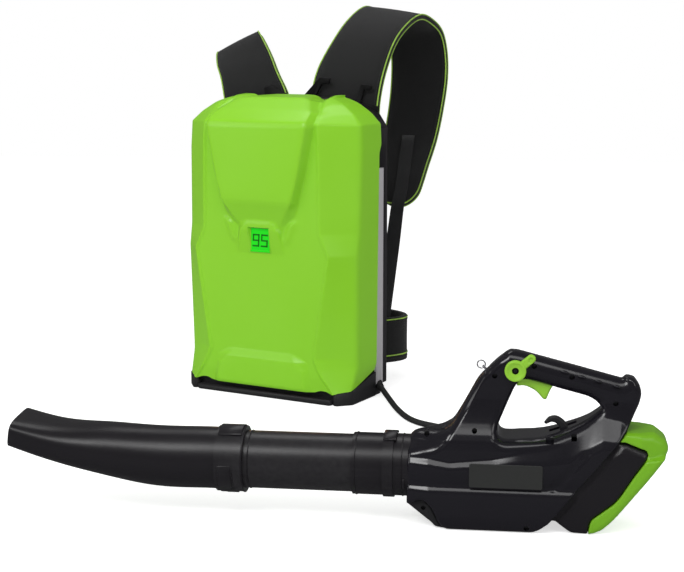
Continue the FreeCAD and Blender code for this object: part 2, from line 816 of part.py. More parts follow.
def make_adapter():
    half = value("adapter_half")
    tongue = dock_prism(value("tongue_half"), -value("tongue_depth"), 2, value("tongue_wide") / 2)
    front = dock_prism(120, -80, value("part_gap"), 80)
    case = flat_outline(CASE_OUTLINE, half - 0.6).cut(front)
    hollow = dock_prism(30, -value("tongue_depth") + 3, 24, value("tongue_wide") / 2 - 4)
    case = case.fuse(tongue).cut(hollow)
    keep_shape("adapter_case", case.removeSplitter())
    cover = flat_outline(COVER_OUTLINE, half).cut(front)
    keep_shape("adapter_cover", cover)
    contacts = []
    for y in (-21, -8, 5, 18):
        blade = dock_prism(14, -value("tongue_depth") - 1.6, -value("tongue_depth"), 1.5)
        blade.translate(Vector(0, y, 0))
        contacts.append(blade)
    keep_shape("adapter_contacts", Part.makeCompound(contacts))
    cone = doc.addObject("Part::Cone", "cord_relief")
    cone.Label = "cord_relief"
    bind(cone, Radius1=9.5, Radius2=6.4, Height=cell("relief_length"))
    cone.Placement = Placement(
        Vector(value("relief_x"), half - 0.6, value("relief_z")), Rotation(Vector(1, 0, 0), -90))
    made.append(cone)


# Pack, in its own frame

PACK_PLACE = Placement(
    Vector(value("pack_x"), value("pack_y"), 0), Rotation(Vector(0, 0, 1), -value("pack_turn")))


def pack_point(x, y, z):
    return PACK_PLACE.multVec(Vector(x, y, z))


# Height, half width of the front panel, half width, depth of the angled facet, and set-back of the front.
COVER_STATIONS = [
    (8, 144, 170, 24, 4), (67, 108, 174, 38, 0), (262, 138, 176, 34, 0), (300, 120, 176, 40, 0),
    (440, 116, 178, 44, 0), (486, 113, 176, 46, 2), (504, 110, 158, 54, 20), (521, 92, 130, 62, 37),
    (532, 60, 92, 76, 60),
]
SHIELD_STATIONS = [
    (306, 46, 40, 0.5), (350, 80, 70, -16), (484, 107, 98, -16), (498, 107, 98, -11), (511, 105, 96, 8),
    (531, 92, 84, 40),
]


def cover_section(station, wall=0.0):
    z, front, half, facet, back = station
    deep = value("cover_depth") + (5 if wall else 0)
    return [
        (-half + wall, deep, z), (-half + wall, facet + wall / 2, z), (-front + wall / 2, back + wall, z),
        (front - wall / 2, back + wall, z), (half - wall, facet + wall / 2, z), (half - wall, deep, z),
    ]


def make_front_cover():
    wall = value("pack_wall")
    outside = ruled([cover_section(station) for station in COVER_STATIONS])
    shield = ruled([
        [(-base, 70, z), (-base, 8 + max(front, 0), z), (-top, front, z), (top, front, z),
         (base, 8 + max(front, 0), z), (base, 70, z)]
        for z, base, top, front in SHIELD_STATIONS
    ])
    bump_base = [(-66, 82), (66, 82), (84, 58), (92, 12), (-92, 12), (-84, 58)]
    bump_top = [(-54, 70), (54, 70), (72, 50), (80, 12), (-80, 12), (-72, 50)]
    bump = ruled([[(x, 5, z) for x, z in bump_base], [(x, -7, z) for x, z in bump_top]])
    hood_base = [(-36, 320), (36, 320), (48, 300), (34, 250), (-34, 250), (-48, 300)]
    hood_top = [(-30, 315), (30, 315), (30, 299), (25, 257), (-25, 257), (-30, 299)]
    hood = ruled([[(x, 2, z) for x, z in hood_base], [(x, -6, z) for x, z in hood_top]])
    body = outside.fuse([shield, bump, hood])
    inner_stations = [(z if z > 20 else 4, *rest) for z, *rest in COVER_STATIONS[:-1]]
    inner_stations.append((528, 46, 64, 78, 62))
    body = body.cut(ruled([cover_section(station, wall) for station in inner_stations]))
    # The lower edge steps down at the front corners and climbs towards the back.
    under = [(-220, -30, -5), (-220, -30, 20), (-220, 6, 20), (-220, 28, 15), (-220, 111, 37), (-220, 111, -5)]
    body = body.cut(prism(under, (440, 0, 0)))
    half, low, high = value("display_half"), value("display_low"), value("display_high")
    body = body.cut(block((-half - 0.2, -20, low - 0.2), (half + 0.2, 20, high + 0.2)))
    keep_shape("pack_front_cover", body.removeSplitter(), PACK_PLACE)


# The cord leaves the pack's right side at the foot of its back corner, slanting forwards.
CORD_EXIT = Vector(0.34, -0.93, -0.12).normalize()


def gland_start():
    return pack_point(value("gland_x"), value("gland_y"), value("gland_z"))


def pack_outline(inset):
    half = cell("pack_half") - inset
    return [
        (-half, 17 + inset), (-half, 480 - inset), (-half + 16, 503 - inset), (-124 + inset * 0.5, 520 - inset),
        (-70, 530 - inset), (70, 530 - inset), (124 - inset * 0.5, 520 - inset), (half - 16, 503 - inset),
        (half, 480 - inset), (half, 17 + inset),
    ]


def make_side_frame():
    # A grey channel along both sides and the foot of the pack.
    half, top = cell("pack_half") - 1, cell("frame_top")
    body = new_body("pack_side_frame_blank", PACK_PLACE)
    made.pop()
    sketch = new_sketch(body, "XZ_Plane", -(cell("frame_depth") - 0.2))
    draw_outline(sketch, [
        (-half, 17), (half, 17), (half, top), (half - 5, top), (half - 5, 24), (-half + 5, 24), (-half + 5, top),
        (-half, top),
    ])
    pad(body, sketch, cell("frame_depth") - cell("cover_depth") - 0.4)
    cut_for_gland("pack_side_frame", body)


def make_back_shell():
    body = new_body("pack_back_shell", PACK_PLACE)
    deep, start = cell("back_depth"), cell("frame_depth")
    sketch = new_sketch(body, "XZ_Plane", -deep)
    draw_outline(sketch, pack_outline(1.5))
    pad(body, sketch, deep - start)
    top = cell("frame_top") + 0.4
    outline = [(x, z) for x, z in pack_outline(1.5)]
    outline[0] = (outline[0][0], top)
    outline[-1] = (outline[-1][0], top)
    sketch = new_sketch(body, "XZ_Plane", -(start + 1))
    draw_outline(sketch, outline)
    pad(body, sketch, start + 0.8 - cell("cover_depth"))
    inner = pack_outline(6)
    sketch = new_sketch(body, "XZ_Plane", -(deep - cell("pack_wall")))
    draw_outline(sketch, inner)
    pocket(body, sketch, deep, "One side", True)


def make_base_tray():
    tall = cell("tray_height")
    half = cell("pack_half") - 3
    body = new_body("pack_base_tray_blank", PACK_PLACE)
    made.pop()
    sketch = new_sketch(body, "XY_Plane")
    draw_outline(sketch, [
        (-half, 128), (-half, 26), (-140, 6), (140, 6), (half, 26), (half, 128), (half - 8, 134), (-half + 8, 134),
    ])
    pad(body, sketch, tall)
    # A rim stands behind the cover's lower edge.
    sketch = new_sketch(body, "XY_Plane")
    draw_outline(sketch, [
        (-half + 5, 108), (-half + 5, 36), (-123, 9.5), (123, 9.5), (half - 5, 36), (half - 5, 108),
    ])
    pad(body, sketch, tall * 2)
    # Cheeks climb along both sides under the cover's lower edge.
    sketch = new_sketch(body, "YZ_Plane")
    draw_outline(sketch, [(30, 10), (109, 10), (109, 35.8), (104, 35), (30, 14.8)])
    pad(body, sketch, half * 2, "Symmetric")
    sketch = new_sketch(body, "XY_Plane", 3)
    draw_outline(sketch, [
        (-half + 8, 104), (-half + 8, 38), (-121, 13), (121, 13), (half - 8, 38), (half - 8, 104),
    ])
    pocket(body, sketch, 60, "One side", True)
    cut_for_gland("pack_base_tray", body)


# The gland's seat, cut through a piece that it passes.
def cut_for_gland(label, blank):
    seat = doc.addObject("Part::Cylinder", f"{label}_seat")
    bind(seat, Radius=8.1, Height=cell("gland_length") + 20)
    seat.Placement = Placement(gland_start() - CORD_EXIT * 0.1, Rotation(Vector(0, 0, 1), CORD_EXIT))
    joined_node(label, "Part::Cut", (blank, seat))


def make_display():
    half, low, high = cell("display_half"), cell("display_low"), cell("display_high")
    lens = bind_box("display_lens", (-half, -3, low), (half * 2, 2, high - low))
    lens.Label = "display_lens"
    module = bind_box("display_module", (-half + 1, -0.8, low + 1), (half * 2 - 2, 9, high - low - 2))
    module.Label = "display_module"
    for solid in (lens, module):
        solid.Placement = PACK_PLACE.multiply(solid.Placement)
        for name in "xyz":
            solid.setExpression(f"Placement.Base.{name}", None)
        made.append(solid)


def cell_places():
    pitch = value("cell_pitch")
    columns, rows = int(value("cell_columns")), int(value("cell_rows"))
    for column in range(columns):
        for row in range(rows):
            side = 3 if column >= columns / 2 else -3
            yield (column - (columns - 1) / 2) * pitch + side, value("cell_low") + row * pitch


def make_cells():
    radius, length, front = value("cell_radius"), value("cell_length"), value("cell_front")
    cans = [rod((x, front, z), (0, 1, 0), radius, length) for x, z in cell_places()]
    keep_shape("battery_cells", Part.makeCompound(cans), PACK_PLACE)
    places = list(cell_places())
    pitch = value("cell_pitch")
    plates, buses = [], []
    for side in (-1, 1):
        mine = [(x, z) for x, z in places if x * side > 0]
        x0, x1 = min(x for x, _ in mine) - pitch / 2, max(x for x, _ in mine) + pitch / 2
        z0, z1 = min(z for _, z in mine) - pitch / 2, max(z for _, z in mine) + pitch / 2
        for y in (front + 2, front + length - 6):
            outline = loop([(x0, y, z0), (x1, y, z0), (x1, y, z1), (x0, y, z1)])
            holes = []
            for x, z in mine:
                holes.append(Part.Wire(Part.makeCircle(radius + 0.15, Vector(x, y, z), Vector(0, 1, 0))))
            plates.append(Part.makeFace([outline] + holes, "Part::FaceMakerBullseye").extrude(Vector(0, 4, 0)))
        for y in (front - 0.6, front + length + 0.2):
            for k in range(int(value("cell_rows")) // 2):
                low = z0 + 2 * k * pitch + 3
                buses.append(block((x0 + 3, y, low), (x1 - 3, y + 0.4, low + 2 * pitch - 6)))
    keep_shape("cell_holders", Part.makeCompound(plates), PACK_PLACE)
    keep_shape("bus_plates", Part.makeCompound(buses), PACK_PLACE)


def make_pack_electronics():
    board = bind_box("pack_board", (-110, 60, 362), (220, 1.6, 70))
    chips = [board]
    for k, (x, z, wide) in enumerate(((-95, 372, 30), (-50, 380, 22), (-10, 370, 40), (50, 376, 45))):
        chips.append(bind_box(f"pack_chip_{k}", (x, 61, z), (wide, 9, 24)))
    node = joined_node("management_board", "Part::MultiFuse", chips, PACK_PLACE)
    doc.recompute()
    node.Placement = PACK_PLACE
    terminal = bind_box("output_terminal", (118, 76, 24), (34, 24, 20))
    terminal.Label = "output_terminal"
    terminal.Placement = PACK_PLACE.multiply(terminal.Placement)
    made.append(terminal)


def make_pack_screws():
    heads = []
    for x, z in ((-150, 40), (150, 40), (-150, 250), (150, 250), (-140, 470), (140, 470)):
        heads.append(rod((x, value("back_depth"), z), (0, 1, 0), 4.5, 2.2))
    keep_shape("pack_screws", Part.makeCompound(heads), PACK_PLACE)


def make_gland():
    gland = doc.addObject("Part::Cone", "cord_gland")
    gland.Label = "cord_gland"
    bind(gland, Radius1=8, Radius2=6.2, Height=cell("gland_length"))
    gland.Placement = Placement(gland_start(), Rotation(Vector(0, 0, 1), CORD_EXIT))
    made.append(gland)


# Where the cord goes, from the pack's gland over the floor and behind the blower to the adapter.
CORD_ROUTE = [
    (-172, 562, 5), (-141, 491, 5), (-93, 459, 5), (-42, 432, 5), (-20, 380, 5), (-30, 310, 5), (-52, 245, 5),
    (-50, 185, 5), (-11, 146, 5), (44, 146, 5), (83, 185, 5), (83, 262, 5), (122, 301, 5), (172, 301, 5),
    (207, 258, 5), (196, 200, 9), (167, 158, 33),
]


def make_cord():
    start = gland_start() + CORD_EXIT * value("gland_length")
    end_y = value("adapter_half") - 0.6 + value("relief_length")
    end = (value("relief_x"), end_y, value("relief_z"))
    before_end = (value("relief_x"), end_y + 32, value("relief_z"))
    route = [tuple(start), tuple(start + CORD_EXIT * 50)] + CORD_ROUTE + [before_end, end]
    keep_shape("power_cord", cord_tube(route, value("cord_radius")))


# Straps and belt, in the pack's frame

RIGHT_STRAP = [
    ((12, 161.6, 470), (146, 161.6, 470)), ((10, 162.2, 520), (148, 162.2, 520)), ((6, 180, 575), (150, 180, 572)),
    ((24, 212, 632), (154, 212, 624)), ((34, 255, 668), (159, 255, 657)), ((42, 305, 688), (161, 305, 672)),
    ((46, 350, 676), (165, 350, 660)), ((48, 382, 648), (166, 382, 640)), ((50, 398, 606), (167, 398, 603)),
    ((50, 400, 558), (167, 400, 558)), ((50, 391, 506), (164, 391, 506)), ((52, 366, 447), (163, 366, 447)),
    ((54, 328, 398), (164, 328, 398)), ((62, 305, 372), (166, 305, 372)), ((76, 289, 352), (166, 289, 352)),
    ((88, 280, 340), (161, 280, 340)), ((99, 274.5, 332), (153, 274.5, 332)), ((112, 271, 327), (144, 271, 327)),
]
LEFT_STRAP = [
    ((-172, 161.6, 470), (-36, 161.6, 478)), ((-179, 162, 516), (-41, 162, 528)),
    ((-195, 174, 556), (-72, 178, 570)), ((-214, 190, 580), (-100, 196, 606)), ((-229, 212, 602), (-140, 224, 642)),
    ((-234, 236, 596), (-158, 250, 630)), ((-238, 268, 572), (-166, 284, 598)), ((-240, 298, 536), (-160, 312, 556)),
    ((-236, 316, 490), (-152, 326, 504)), ((-226, 320, 444), (-142, 328, 450)), ((-212, 312, 402), (-132, 318, 404)),
    ((-200, 300, 368), (-132, 303, 368)), ((-186, 290, 342), (-142, 291, 342)),
]
# Middle of the tape and the direction of its width, from the strap down into the belt's buckle.
WEBBING_RIGHT = [
    (106, 361, 450, 0), (118, 323, 402, 0), (126, 299.4, 376, 0), (131, 283.4, 356, 0), (133.5, 273.5, 344, 0),
    (135, 260, 322, 4), (137, 240, 262, 18), (139.5, 218, 200, 34), (142, 199, 144, 50), (142.3, 194.1, 123, 54.6),
    (142.3, 194.1, 101.4, 54.6),
]
WEBBING_LEFT = [
    (-164, 284.6, 344, 0), (-160, 262, 300, -8), (-152, 228, 212, -30), (-143.5, 200, 144, -50),
    (-142.3, 194.1, 123, -54.6), (-142.3, 194.1, 101.4, -54.6),
]
BELT_WING = [(66, 160), (104, 160.5), (134, 167), (161, 205), (165, 233), (148, 257), (115, 272), (82, 277)]


def make_straps():
    thick = value("strap_thick")
    keep_shape("shoulder_strap_right", band(finer(RIGHT_STRAP), thick, True), PACK_PLACE)
    keep_shape("shoulder_strap_left", band(finer(LEFT_STRAP), thick, True), PACK_PLACE)
    for name, path in (("left", WEBBING_LEFT), ("right", WEBBING_RIGHT)):
        edges = []
        for x, y, z, turn in path:
            wide = Vector(math.cos(math.radians(turn)), math.sin(math.radians(turn)), 0) * 13
            middle = Vector(x, y, z)
            edges.append((tuple(middle - wide), tuple(middle + wide)))
        keep_shape(f"strap_webbing_{name}", band(edges, value("webbing_thick")), PACK_PLACE)


def make_strap_anchors():
    # A bar behind the pack's top edge with two prongs that grip each strap.
    near = value("back_depth") + 0.2
    outlines = {
        "right": [
            (0, 486), (152, 486), (152, 514), (140, 516), (116, 519), (124, 543), (138, 543), (139, 550), (117, 553),
            (106, 521), (22, 526), (36, 551), (52, 553), (54, 562), (32, 563), (0, 532),
        ],
        "left": [
            (-156, 486), (-22, 486), (-30, 530), (-60, 542), (-69, 549), (-87, 543), (-82, 526), (-146, 512),
        ],
    }
    for name, outline in outlines.items():
        points = [(x, near, z) for x, z in outline]
        keep_shape(f"strap_anchor_{name}", prism(points, (0, 4.6, 0)), PACK_PLACE)


def make_hip_belt():
    low, high, thick = value("belt_low"), value("belt_high"), value("belt_thick")
    for side, name in ((-1, "left"), (1, "right")):
        wing = [((x * side, y, low), (x * side, y, high)) for x, y in BELT_WING]
        keep_shape(f"hip_belt_{name}", band(wing, thick, True), PACK_PLACE)
    keep_shape("lumbar_pad", cushion((-62, 64), (62, 190), value("back_depth") + 0.3, 20, 18), PACK_PLACE)
    keep_shape("back_pad", cushion((-118, 230), (118, 462), value("back_depth") + 0.3, 20, 40), PACK_PLACE)
    middle = (low + high) / 2
    webs = []
    for side in (-1, 1):
        near, far = sorted((34.2 * side, 81 * side))
        webs.append(block((near, 276, middle - 18), (far, 278.4, middle + 18)))
    keep_shape("belt_webbing", Part.makeCompound(webs), PACK_PLACE)
    socket = block((-2, 271, middle - 24), (34, 284, middle + 24))
    socket = socket.cut(block((-3, 273.5, middle - 20), (24, 281.5, middle + 20)))
    keep_shape("belt_buckle_socket", socket, PACK_PLACE)
    tongue = block((-34, 271, middle - 24), (-2.4, 284, middle + 24))
    for z in (middle - 18, middle - 3.5, middle + 11):
        tongue = tongue.fuse(block((-3, 275, z), (20, 280, z + 7)))
    keep_shape("belt_buckle_tongue", tongue, PACK_PLACE)
    # Each buckle stands on the belt's inner face, and its tape runs down between the two bars.
    frames = []
    for side in (-1, 1):
        frame = block((-16, -1.6, 96), (16, 3.4, 122)).cut(block((-14, -2, 101), (14, 4, 123)))
        frame = frame.fuse(block((-16, -3.1, 114), (16, -1.5, 122)))
        frame.rotate(Vector(), Vector(0, 0, 1), 54.6 * side)
        frame.translate(Vector(142.3 * side, 194.1, 0))
        frames.append(frame)
    keep_shape("strap_buckles", Part.makeCompound(frames), PACK_PLACE)


def check_and_write():
    doc.recompute()
    for thing in doc.Objects:
        if "Invalid" in thing.State or "Error" in thing.State:
            raise RuntimeError(f"{thing.Label} failed: {thing.State}")
    os.makedirs("parts", exist_ok=True)
    for node in made:
        shape = node.Shape
        if shape.isNull() or not shape.isValid() or not shape.Solids:
            raise RuntimeError(f"{node.Label} has no valid solid")
        shape.exportStep(f"parts/{node.Label}.step")
    print(len(made), "nodes written")


make_main_tube()
make_front_collar()
make_nozzle()
make_fan_duct()
make_impeller()
make_stator()
make_motor()
make_intake_grille()
make_housing()
make_chin_guard()
make_electronics()
make_dock_bay()
make_trigger()
make_cruise_lever()
make_release_lever()
make_hang_ring()
make_housing_screws()
make_adapter()
make_front_cover()
make_side_frame()
make_back_shell()
make_base_tray()
make_display()
make_cells()
make_pack_electronics()
make_pack_screws()
make_gland()
make_cord()
make_straps()
make_strap_anchors()
make_hip_belt()
check_and_write()
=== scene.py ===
import bmesh
import bpy
import math
from mathutils import Matrix, Vector
from mathutils.geometry import delaunay_2d_cdt


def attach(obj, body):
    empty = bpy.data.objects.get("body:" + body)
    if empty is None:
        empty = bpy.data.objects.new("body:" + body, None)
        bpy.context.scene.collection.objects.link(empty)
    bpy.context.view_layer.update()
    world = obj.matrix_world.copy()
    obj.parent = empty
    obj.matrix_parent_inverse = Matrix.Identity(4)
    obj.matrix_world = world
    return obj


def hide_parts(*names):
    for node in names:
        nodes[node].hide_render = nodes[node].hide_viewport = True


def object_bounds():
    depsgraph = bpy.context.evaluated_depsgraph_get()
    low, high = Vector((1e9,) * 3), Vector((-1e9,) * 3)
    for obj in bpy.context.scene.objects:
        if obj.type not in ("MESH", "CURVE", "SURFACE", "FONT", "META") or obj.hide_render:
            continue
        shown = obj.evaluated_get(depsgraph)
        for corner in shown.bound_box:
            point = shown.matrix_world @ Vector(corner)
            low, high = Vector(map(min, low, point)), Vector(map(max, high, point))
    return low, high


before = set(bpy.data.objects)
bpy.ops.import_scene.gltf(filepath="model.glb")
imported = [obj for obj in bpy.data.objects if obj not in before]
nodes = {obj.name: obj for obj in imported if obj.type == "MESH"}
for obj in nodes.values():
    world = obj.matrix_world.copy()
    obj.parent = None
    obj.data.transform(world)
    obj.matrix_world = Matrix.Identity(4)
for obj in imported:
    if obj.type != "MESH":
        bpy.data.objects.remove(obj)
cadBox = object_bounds()
scene = bpy.context.scene
scene.view_settings.view_transform = "Standard"
print("frame loaded:", len(nodes), "nodes")

# The pack stands behind the blower, turned a little. Its points are in millimetres, in its own frame.
packPlace = {"x": -423.8, "y": 649.1, "turn": -22}


def packPoint(x, y, z):
    turn = math.radians(packPlace["turn"])
    return Vector((
        packPlace["x"] + x * math.cos(turn) - y * math.sin(turn),
        packPlace["y"] + x * math.sin(turn) + y * math.cos(turn), z)) * 0.001


def along(table, z):  # a value between the rows of a table
    if z <= table[0][0]:
        return table[0][1]
    for (z0, low), (z1, high) in zip(table, table[1:]):
        if z <= z1:
            return low + (high - low) * (z - z0) / (z1 - z0)
    return table[-1][1]


# Camera

view = {"place": (0.0591, -1.925, 0.630), "azimuth": 7.5, "down": 9.3136, "lens": 78.95, "sensor": 36}


def makeCamera():
    camera = addObject("camera", bpy.data.cameras.new("camera"))
    camera.data.lens = view["lens"]
    camera.data.sensor_width = view["sensor"]
    camera.location = view["place"]
    camera.rotation_euler = (math.radians(90 - view["down"]), 0, math.radians(view["azimuth"]))
    scene.camera = camera


# Light and floor

studio = {
    "world": 0.47, "glossyWorld": 0.13,
    "floor": (0.86, 0.86, 0.86), "floorMirrored": (0.20, 0.20, 0.21), "floorLift": 0.62, "floorHalf": 6,
    "floorGap": 0.0002,
    "key": {"place": (-1.9, -2.6, 3.1), "aim": (-0.2, 0.4, 0.2), "size": (1.6, 1.2), "power": 40},
    "fill": {"place": (2.6, -1.7, 1.9), "aim": (-0.1, 0.4, 0.2), "size": (1.4, 1.4), "power": 15, "gloss": 0.5},
    "top": {"place": (-0.3, -1.55, 2.3), "aim": (-0.3, 0.1, 0.1), "size": (3.0, 0.9), "power": 24},
    "over": {"place": (-0.42, 0.85, 1.5), "aim": (-0.42, 0.62, 0.5), "size": (0.9, 0.5), "power": 3.4, "gloss": 0.4},
    "side": {"place": (-3.4, -0.9, 1.3), "aim": (-0.4, 0.6, 0.3), "size": (1.2, 1.6), "power": 15, "gloss": 0.6},
}


def makeStudio():
    world = bpy.data.worlds.new("studio")
    scene.world = world
    world.use_nodes = True
    tree = world.node_tree
    back = tree.nodes["Background"]
    back.inputs["Color"].default_value = (1, 1, 1, 1)
    path = tree.nodes.new("ShaderNodeLightPath").outputs
    seen = addMath(tree, "MAXIMUM", path["Is Camera Ray"], path["Is Transmission Ray"])
    mirrored = addMath(tree, "MULTIPLY_ADD", path["Is Glossy Ray"], studio["glossyWorld"] - studio["world"],
                       studio["world"])
    tree.links.new(addMath(tree, "MAXIMUM", seen, mirrored), back.inputs["Strength"])

    for name in ("key", "fill", "top", "over", "side"):
        look = studio[name]
        lamp = bpy.data.lights.new(name + "Light", "AREA")
        lamp.shape = "RECTANGLE"
        lamp.size, lamp.size_y = look["size"]
        lamp.energy = look["power"]
        lamp.specular_factor = look.get("gloss", 1)
        light = addObject(name + "Light", lamp)
        light.location = look["place"]
        aim = Vector(look["aim"]) - Vector(look["place"])
        light.rotation_euler = aim.to_track_quat("-Z", "Y").to_euler()

    half = studio["floorHalf"]
    corners = [(-half, -half, 0), (half, -half, 0), (half, half, 0), (-half, half, 0)]
    floor = meshObject("floor", corners, [(0, 1, 2, 3)])
    floor.location.z = cadBox[0][2] - studio["floorGap"]
    material, tree, surface = startMaterial("paleFloor", roughness=0.9, specular=0.1)
    path = tree.nodes.new("ShaderNodeLightPath").outputs
    mirrored = mixColor(tree, path["Is Glossy Ray"], studio["floor"], studio["floorMirrored"])
    tree.links.new(mirrored, surface.inputs["Base Color"])
    glow = tree.nodes.new("ShaderNodeEmission")
    lift = addMath(tree, "MULTIPLY", path["Is Camera Ray"], studio["floorLift"])
    tree.links.new(lift, glow.inputs["Strength"])
    total = tree.nodes.new("ShaderNodeAddShader")
    tree.links.new(surface.outputs[0], total.inputs[0])
    tree.links.new(glow.outputs[0], total.inputs[1])
    tree.links.new(total.outputs[0], tree.nodes["Material Output"].inputs["Surface"])
    floor.data.materials.append(material)


# Objects, meshes and round lines

def addObject(name, data):
    piece = bpy.data.objects.new(name, data)
    scene.collection.objects.link(piece)
    return piece


def meshObject(name, points, faces, smooth=True):
    mesh = bpy.data.meshes.new(name)
    mesh.from_pydata([tuple(point) for point in points], [], faces)
    mesh.validate()
    if smooth:
        mesh.polygons.foreach_set("use_smooth", [True] * len(mesh.polygons))
    return addObject(name, mesh)


def reworkMesh(mesh, work=None):  # its faces look outwards afterwards
    whole = bmesh.new()
    whole.from_mesh(mesh)
    if work:
        work(whole)
    bmesh.ops.recalc_face_normals(whole, faces=whole.faces)
    whole.to_mesh(mesh)
    whole.free()


def cutter(name, shape):
    piece = meshObject(name, *shape, smooth=False)
    reworkMesh(piece.data)
    return piece


def ringFaces(rows, count):  # four-sided faces between closed rows of points
    faces = []
    for row in range(rows - 1):
        for k in range(count):
            a, b = row * count + k, row * count + (k + 1) % count
            faces.append((a, b, b + count, a + count))
    return faces


def startCurve(name, radius, fineness):
    curve = bpy.data.curves.new(name, "CURVE")
    curve.dimensions = "3D"
    curve.bevel_depth = radius / 1000
    curve.bevel_resolution = fineness
    curve.use_fill_caps = True
    return curve


def addLine(curve, kind, places):
    line = curve.splines.new(kind)
    line.points.add(len(places) - 1)
    for point, place in zip(line.points, places):
        point.co = (*place, 1)
    return line


def applyModifiers(piece):
    shaped = bpy.data.meshes.new_from_object(piece.evaluated_get(bpy.context.evaluated_depsgraph_get()))
    shaped.name = piece.name
    piece.modifiers.clear()
    piece.data = shaped


# Shader node groups, each built once

groups = {}


def startGroup(name, inputs, outputs):
    group = bpy.data.node_groups.new(name, "ShaderNodeTree")
    for label, default in inputs:
        socket = group.interface.new_socket(label, in_out="INPUT", socket_type="NodeSocketFloat")
        socket.default_value = default
    for label in outputs:
        group.interface.new_socket(label, in_out="OUTPUT", socket_type="NodeSocketFloat")
    groups[name] = group
    return group, group.nodes.new("NodeGroupInput"), group.nodes.new("NodeGroupOutput")


def addNode(tree, kind, **values):
    node = tree.nodes.new(kind)
    for name, value in values.items():
        node.inputs[name].default_value = value
    return node


def addMath(tree, operation, *sources):
    node = tree.nodes.new("ShaderNodeMath")
    node.operation = operation
    for socket, source in zip(node.inputs, sources):
        if isinstance(source, (int, float)):
            socket.default_value = source
        else:
            tree.links.new(source, socket)
    return node.outputs[0]


def startMaterial(name, specular=0.5, roughness=0.5):
    material = bpy.data.materials.new(name)
    material.use_nodes = True
    surface = material.node_tree.nodes["Principled BSDF"]
    surface.inputs["Specular IOR Level"].default_value = specular
    surface.inputs["Roughness"].default_value = roughness
    return material, material.node_tree, surface


def addBump(tree, surface, height, distance, strength):
    bump = addNode(tree, "ShaderNodeBump", Distance=distance, Strength=strength)
    tree.links.new(height, bump.inputs["Height"])
    tree.links.new(bump.outputs[0], surface.inputs["Normal"])


def addNoise(group, **values):  # noise in the piece's own frame
    noise = addNode(group, "ShaderNodeTexNoise", **values)
    group.links.new(group.nodes.new("ShaderNodeTexCoord").outputs["Object"], noise.inputs["Vector"])
    return noise


def makeMouldGrain():  # fine moulded grain, and a slow change of tone over a surface
    group, taken, given = startGroup("mouldGrain", [("Grains", 900), ("Patches", 9)], ["Height", "Tone"])
    for source, target, detail in (("Grains", "Height", 3), ("Patches", "Tone", 4)):
        noise = addNoise(group, Detail=detail, Roughness=0.6)
        group.links.new(taken.outputs[source], noise.inputs["Scale"])
        group.links.new(noise.outputs["Fac"], given.inputs[target])


def makeEdgeRub():  # worn edges, broken up by noise
    group, taken, given = startGroup("edgeRub", [("Start", 0.53), ("Width", 0.06)], ["Mask"])
    sharp = group.nodes.new("ShaderNodeNewGeometry").outputs["Pointiness"]
    over = addMath(group, "SUBTRACT", sharp, taken.outputs["Start"])
    share = addMath(group, "DIVIDE", over, taken.outputs["Width"])
    noise = addNoise(group, Scale=140.0, Detail=4.0)
    broken = addMath(group, "MULTIPLY", share, noise.outputs["Fac"])
    clamp = group.nodes.new("ShaderNodeClamp")
    group.links.new(broken, clamp.inputs["Value"])
    group.links.new(clamp.outputs[0], given.inputs["Mask"])


def makeFineDust():  # a little dust that lies on what faces up
    group, taken, given = startGroup("fineDust", [("Amount", 0.1)], ["Mask"])
    split = group.nodes.new("ShaderNodeSeparateXYZ")
    group.links.new(group.nodes.new("ShaderNodeNewGeometry").outputs["Normal"], split.inputs[0])
    up = addMath(group, "MAXIMUM", split.outputs["Z"], 0.0)
    noise = addNoise(group, Scale=60.0, Detail=8.0, Roughness=0.7)
    lying = addMath(group, "MULTIPLY", up, noise.outputs["Fac"])
    group.links.new(addMath(group, "MULTIPLY", lying, taken.outputs["Amount"]), given.inputs["Mask"])


def makeWeave():  # crossing threads, counted along the cloth's own width and length
    group, taken, given = startGroup("clothWeave", [("Across", 900), ("Along", 900)], ["Height", "Tone"])
    split = group.nodes.new("ShaderNodeSeparateXYZ")
    group.links.new(group.nodes.new("ShaderNodeTexCoord").outputs["UV"], split.inputs[0])
    waves = []
    for axis, count in (("X", "Across"), ("Y", "Along")):
        turn = addMath(group, "MULTIPLY", split.outputs[axis], taken.outputs[count])
        waves.append(addMath(group, "SINE", addMath(group, "MULTIPLY", turn, 6.2832)))
    crossed = addMath(group, "MULTIPLY", *waves)
    group.links.new(addMath(group, "MULTIPLY_ADD", crossed, 0.5), given.inputs["Height"])
    group.links.new(addNoise(group, Scale=55.0, Detail=5.0).outputs["Fac"], given.inputs["Tone"])


def placeGroup(tree, name, **values):
    node = tree.nodes.new("ShaderNodeGroup")
    node.node_tree = groups[name]
    for label, value in values.items():
        node.inputs[label].default_value = value
    return node


def mixColor(tree, share, first, second):
    node = tree.nodes.new("ShaderNodeMix")
    node.data_type = "RGBA"
    tree.links.new(share, node.inputs["Factor"])
    for socket, source in ((node.inputs[6], first), (node.inputs[7], second)):
        if isinstance(source, tuple):
            socket.default_value = (*source, 1)
        else:
            tree.links.new(source, socket)
    return node.outputs[2]


# Moulded and metal finishes: colour, second tone, roughness, grain and wear, where they differ from the usual

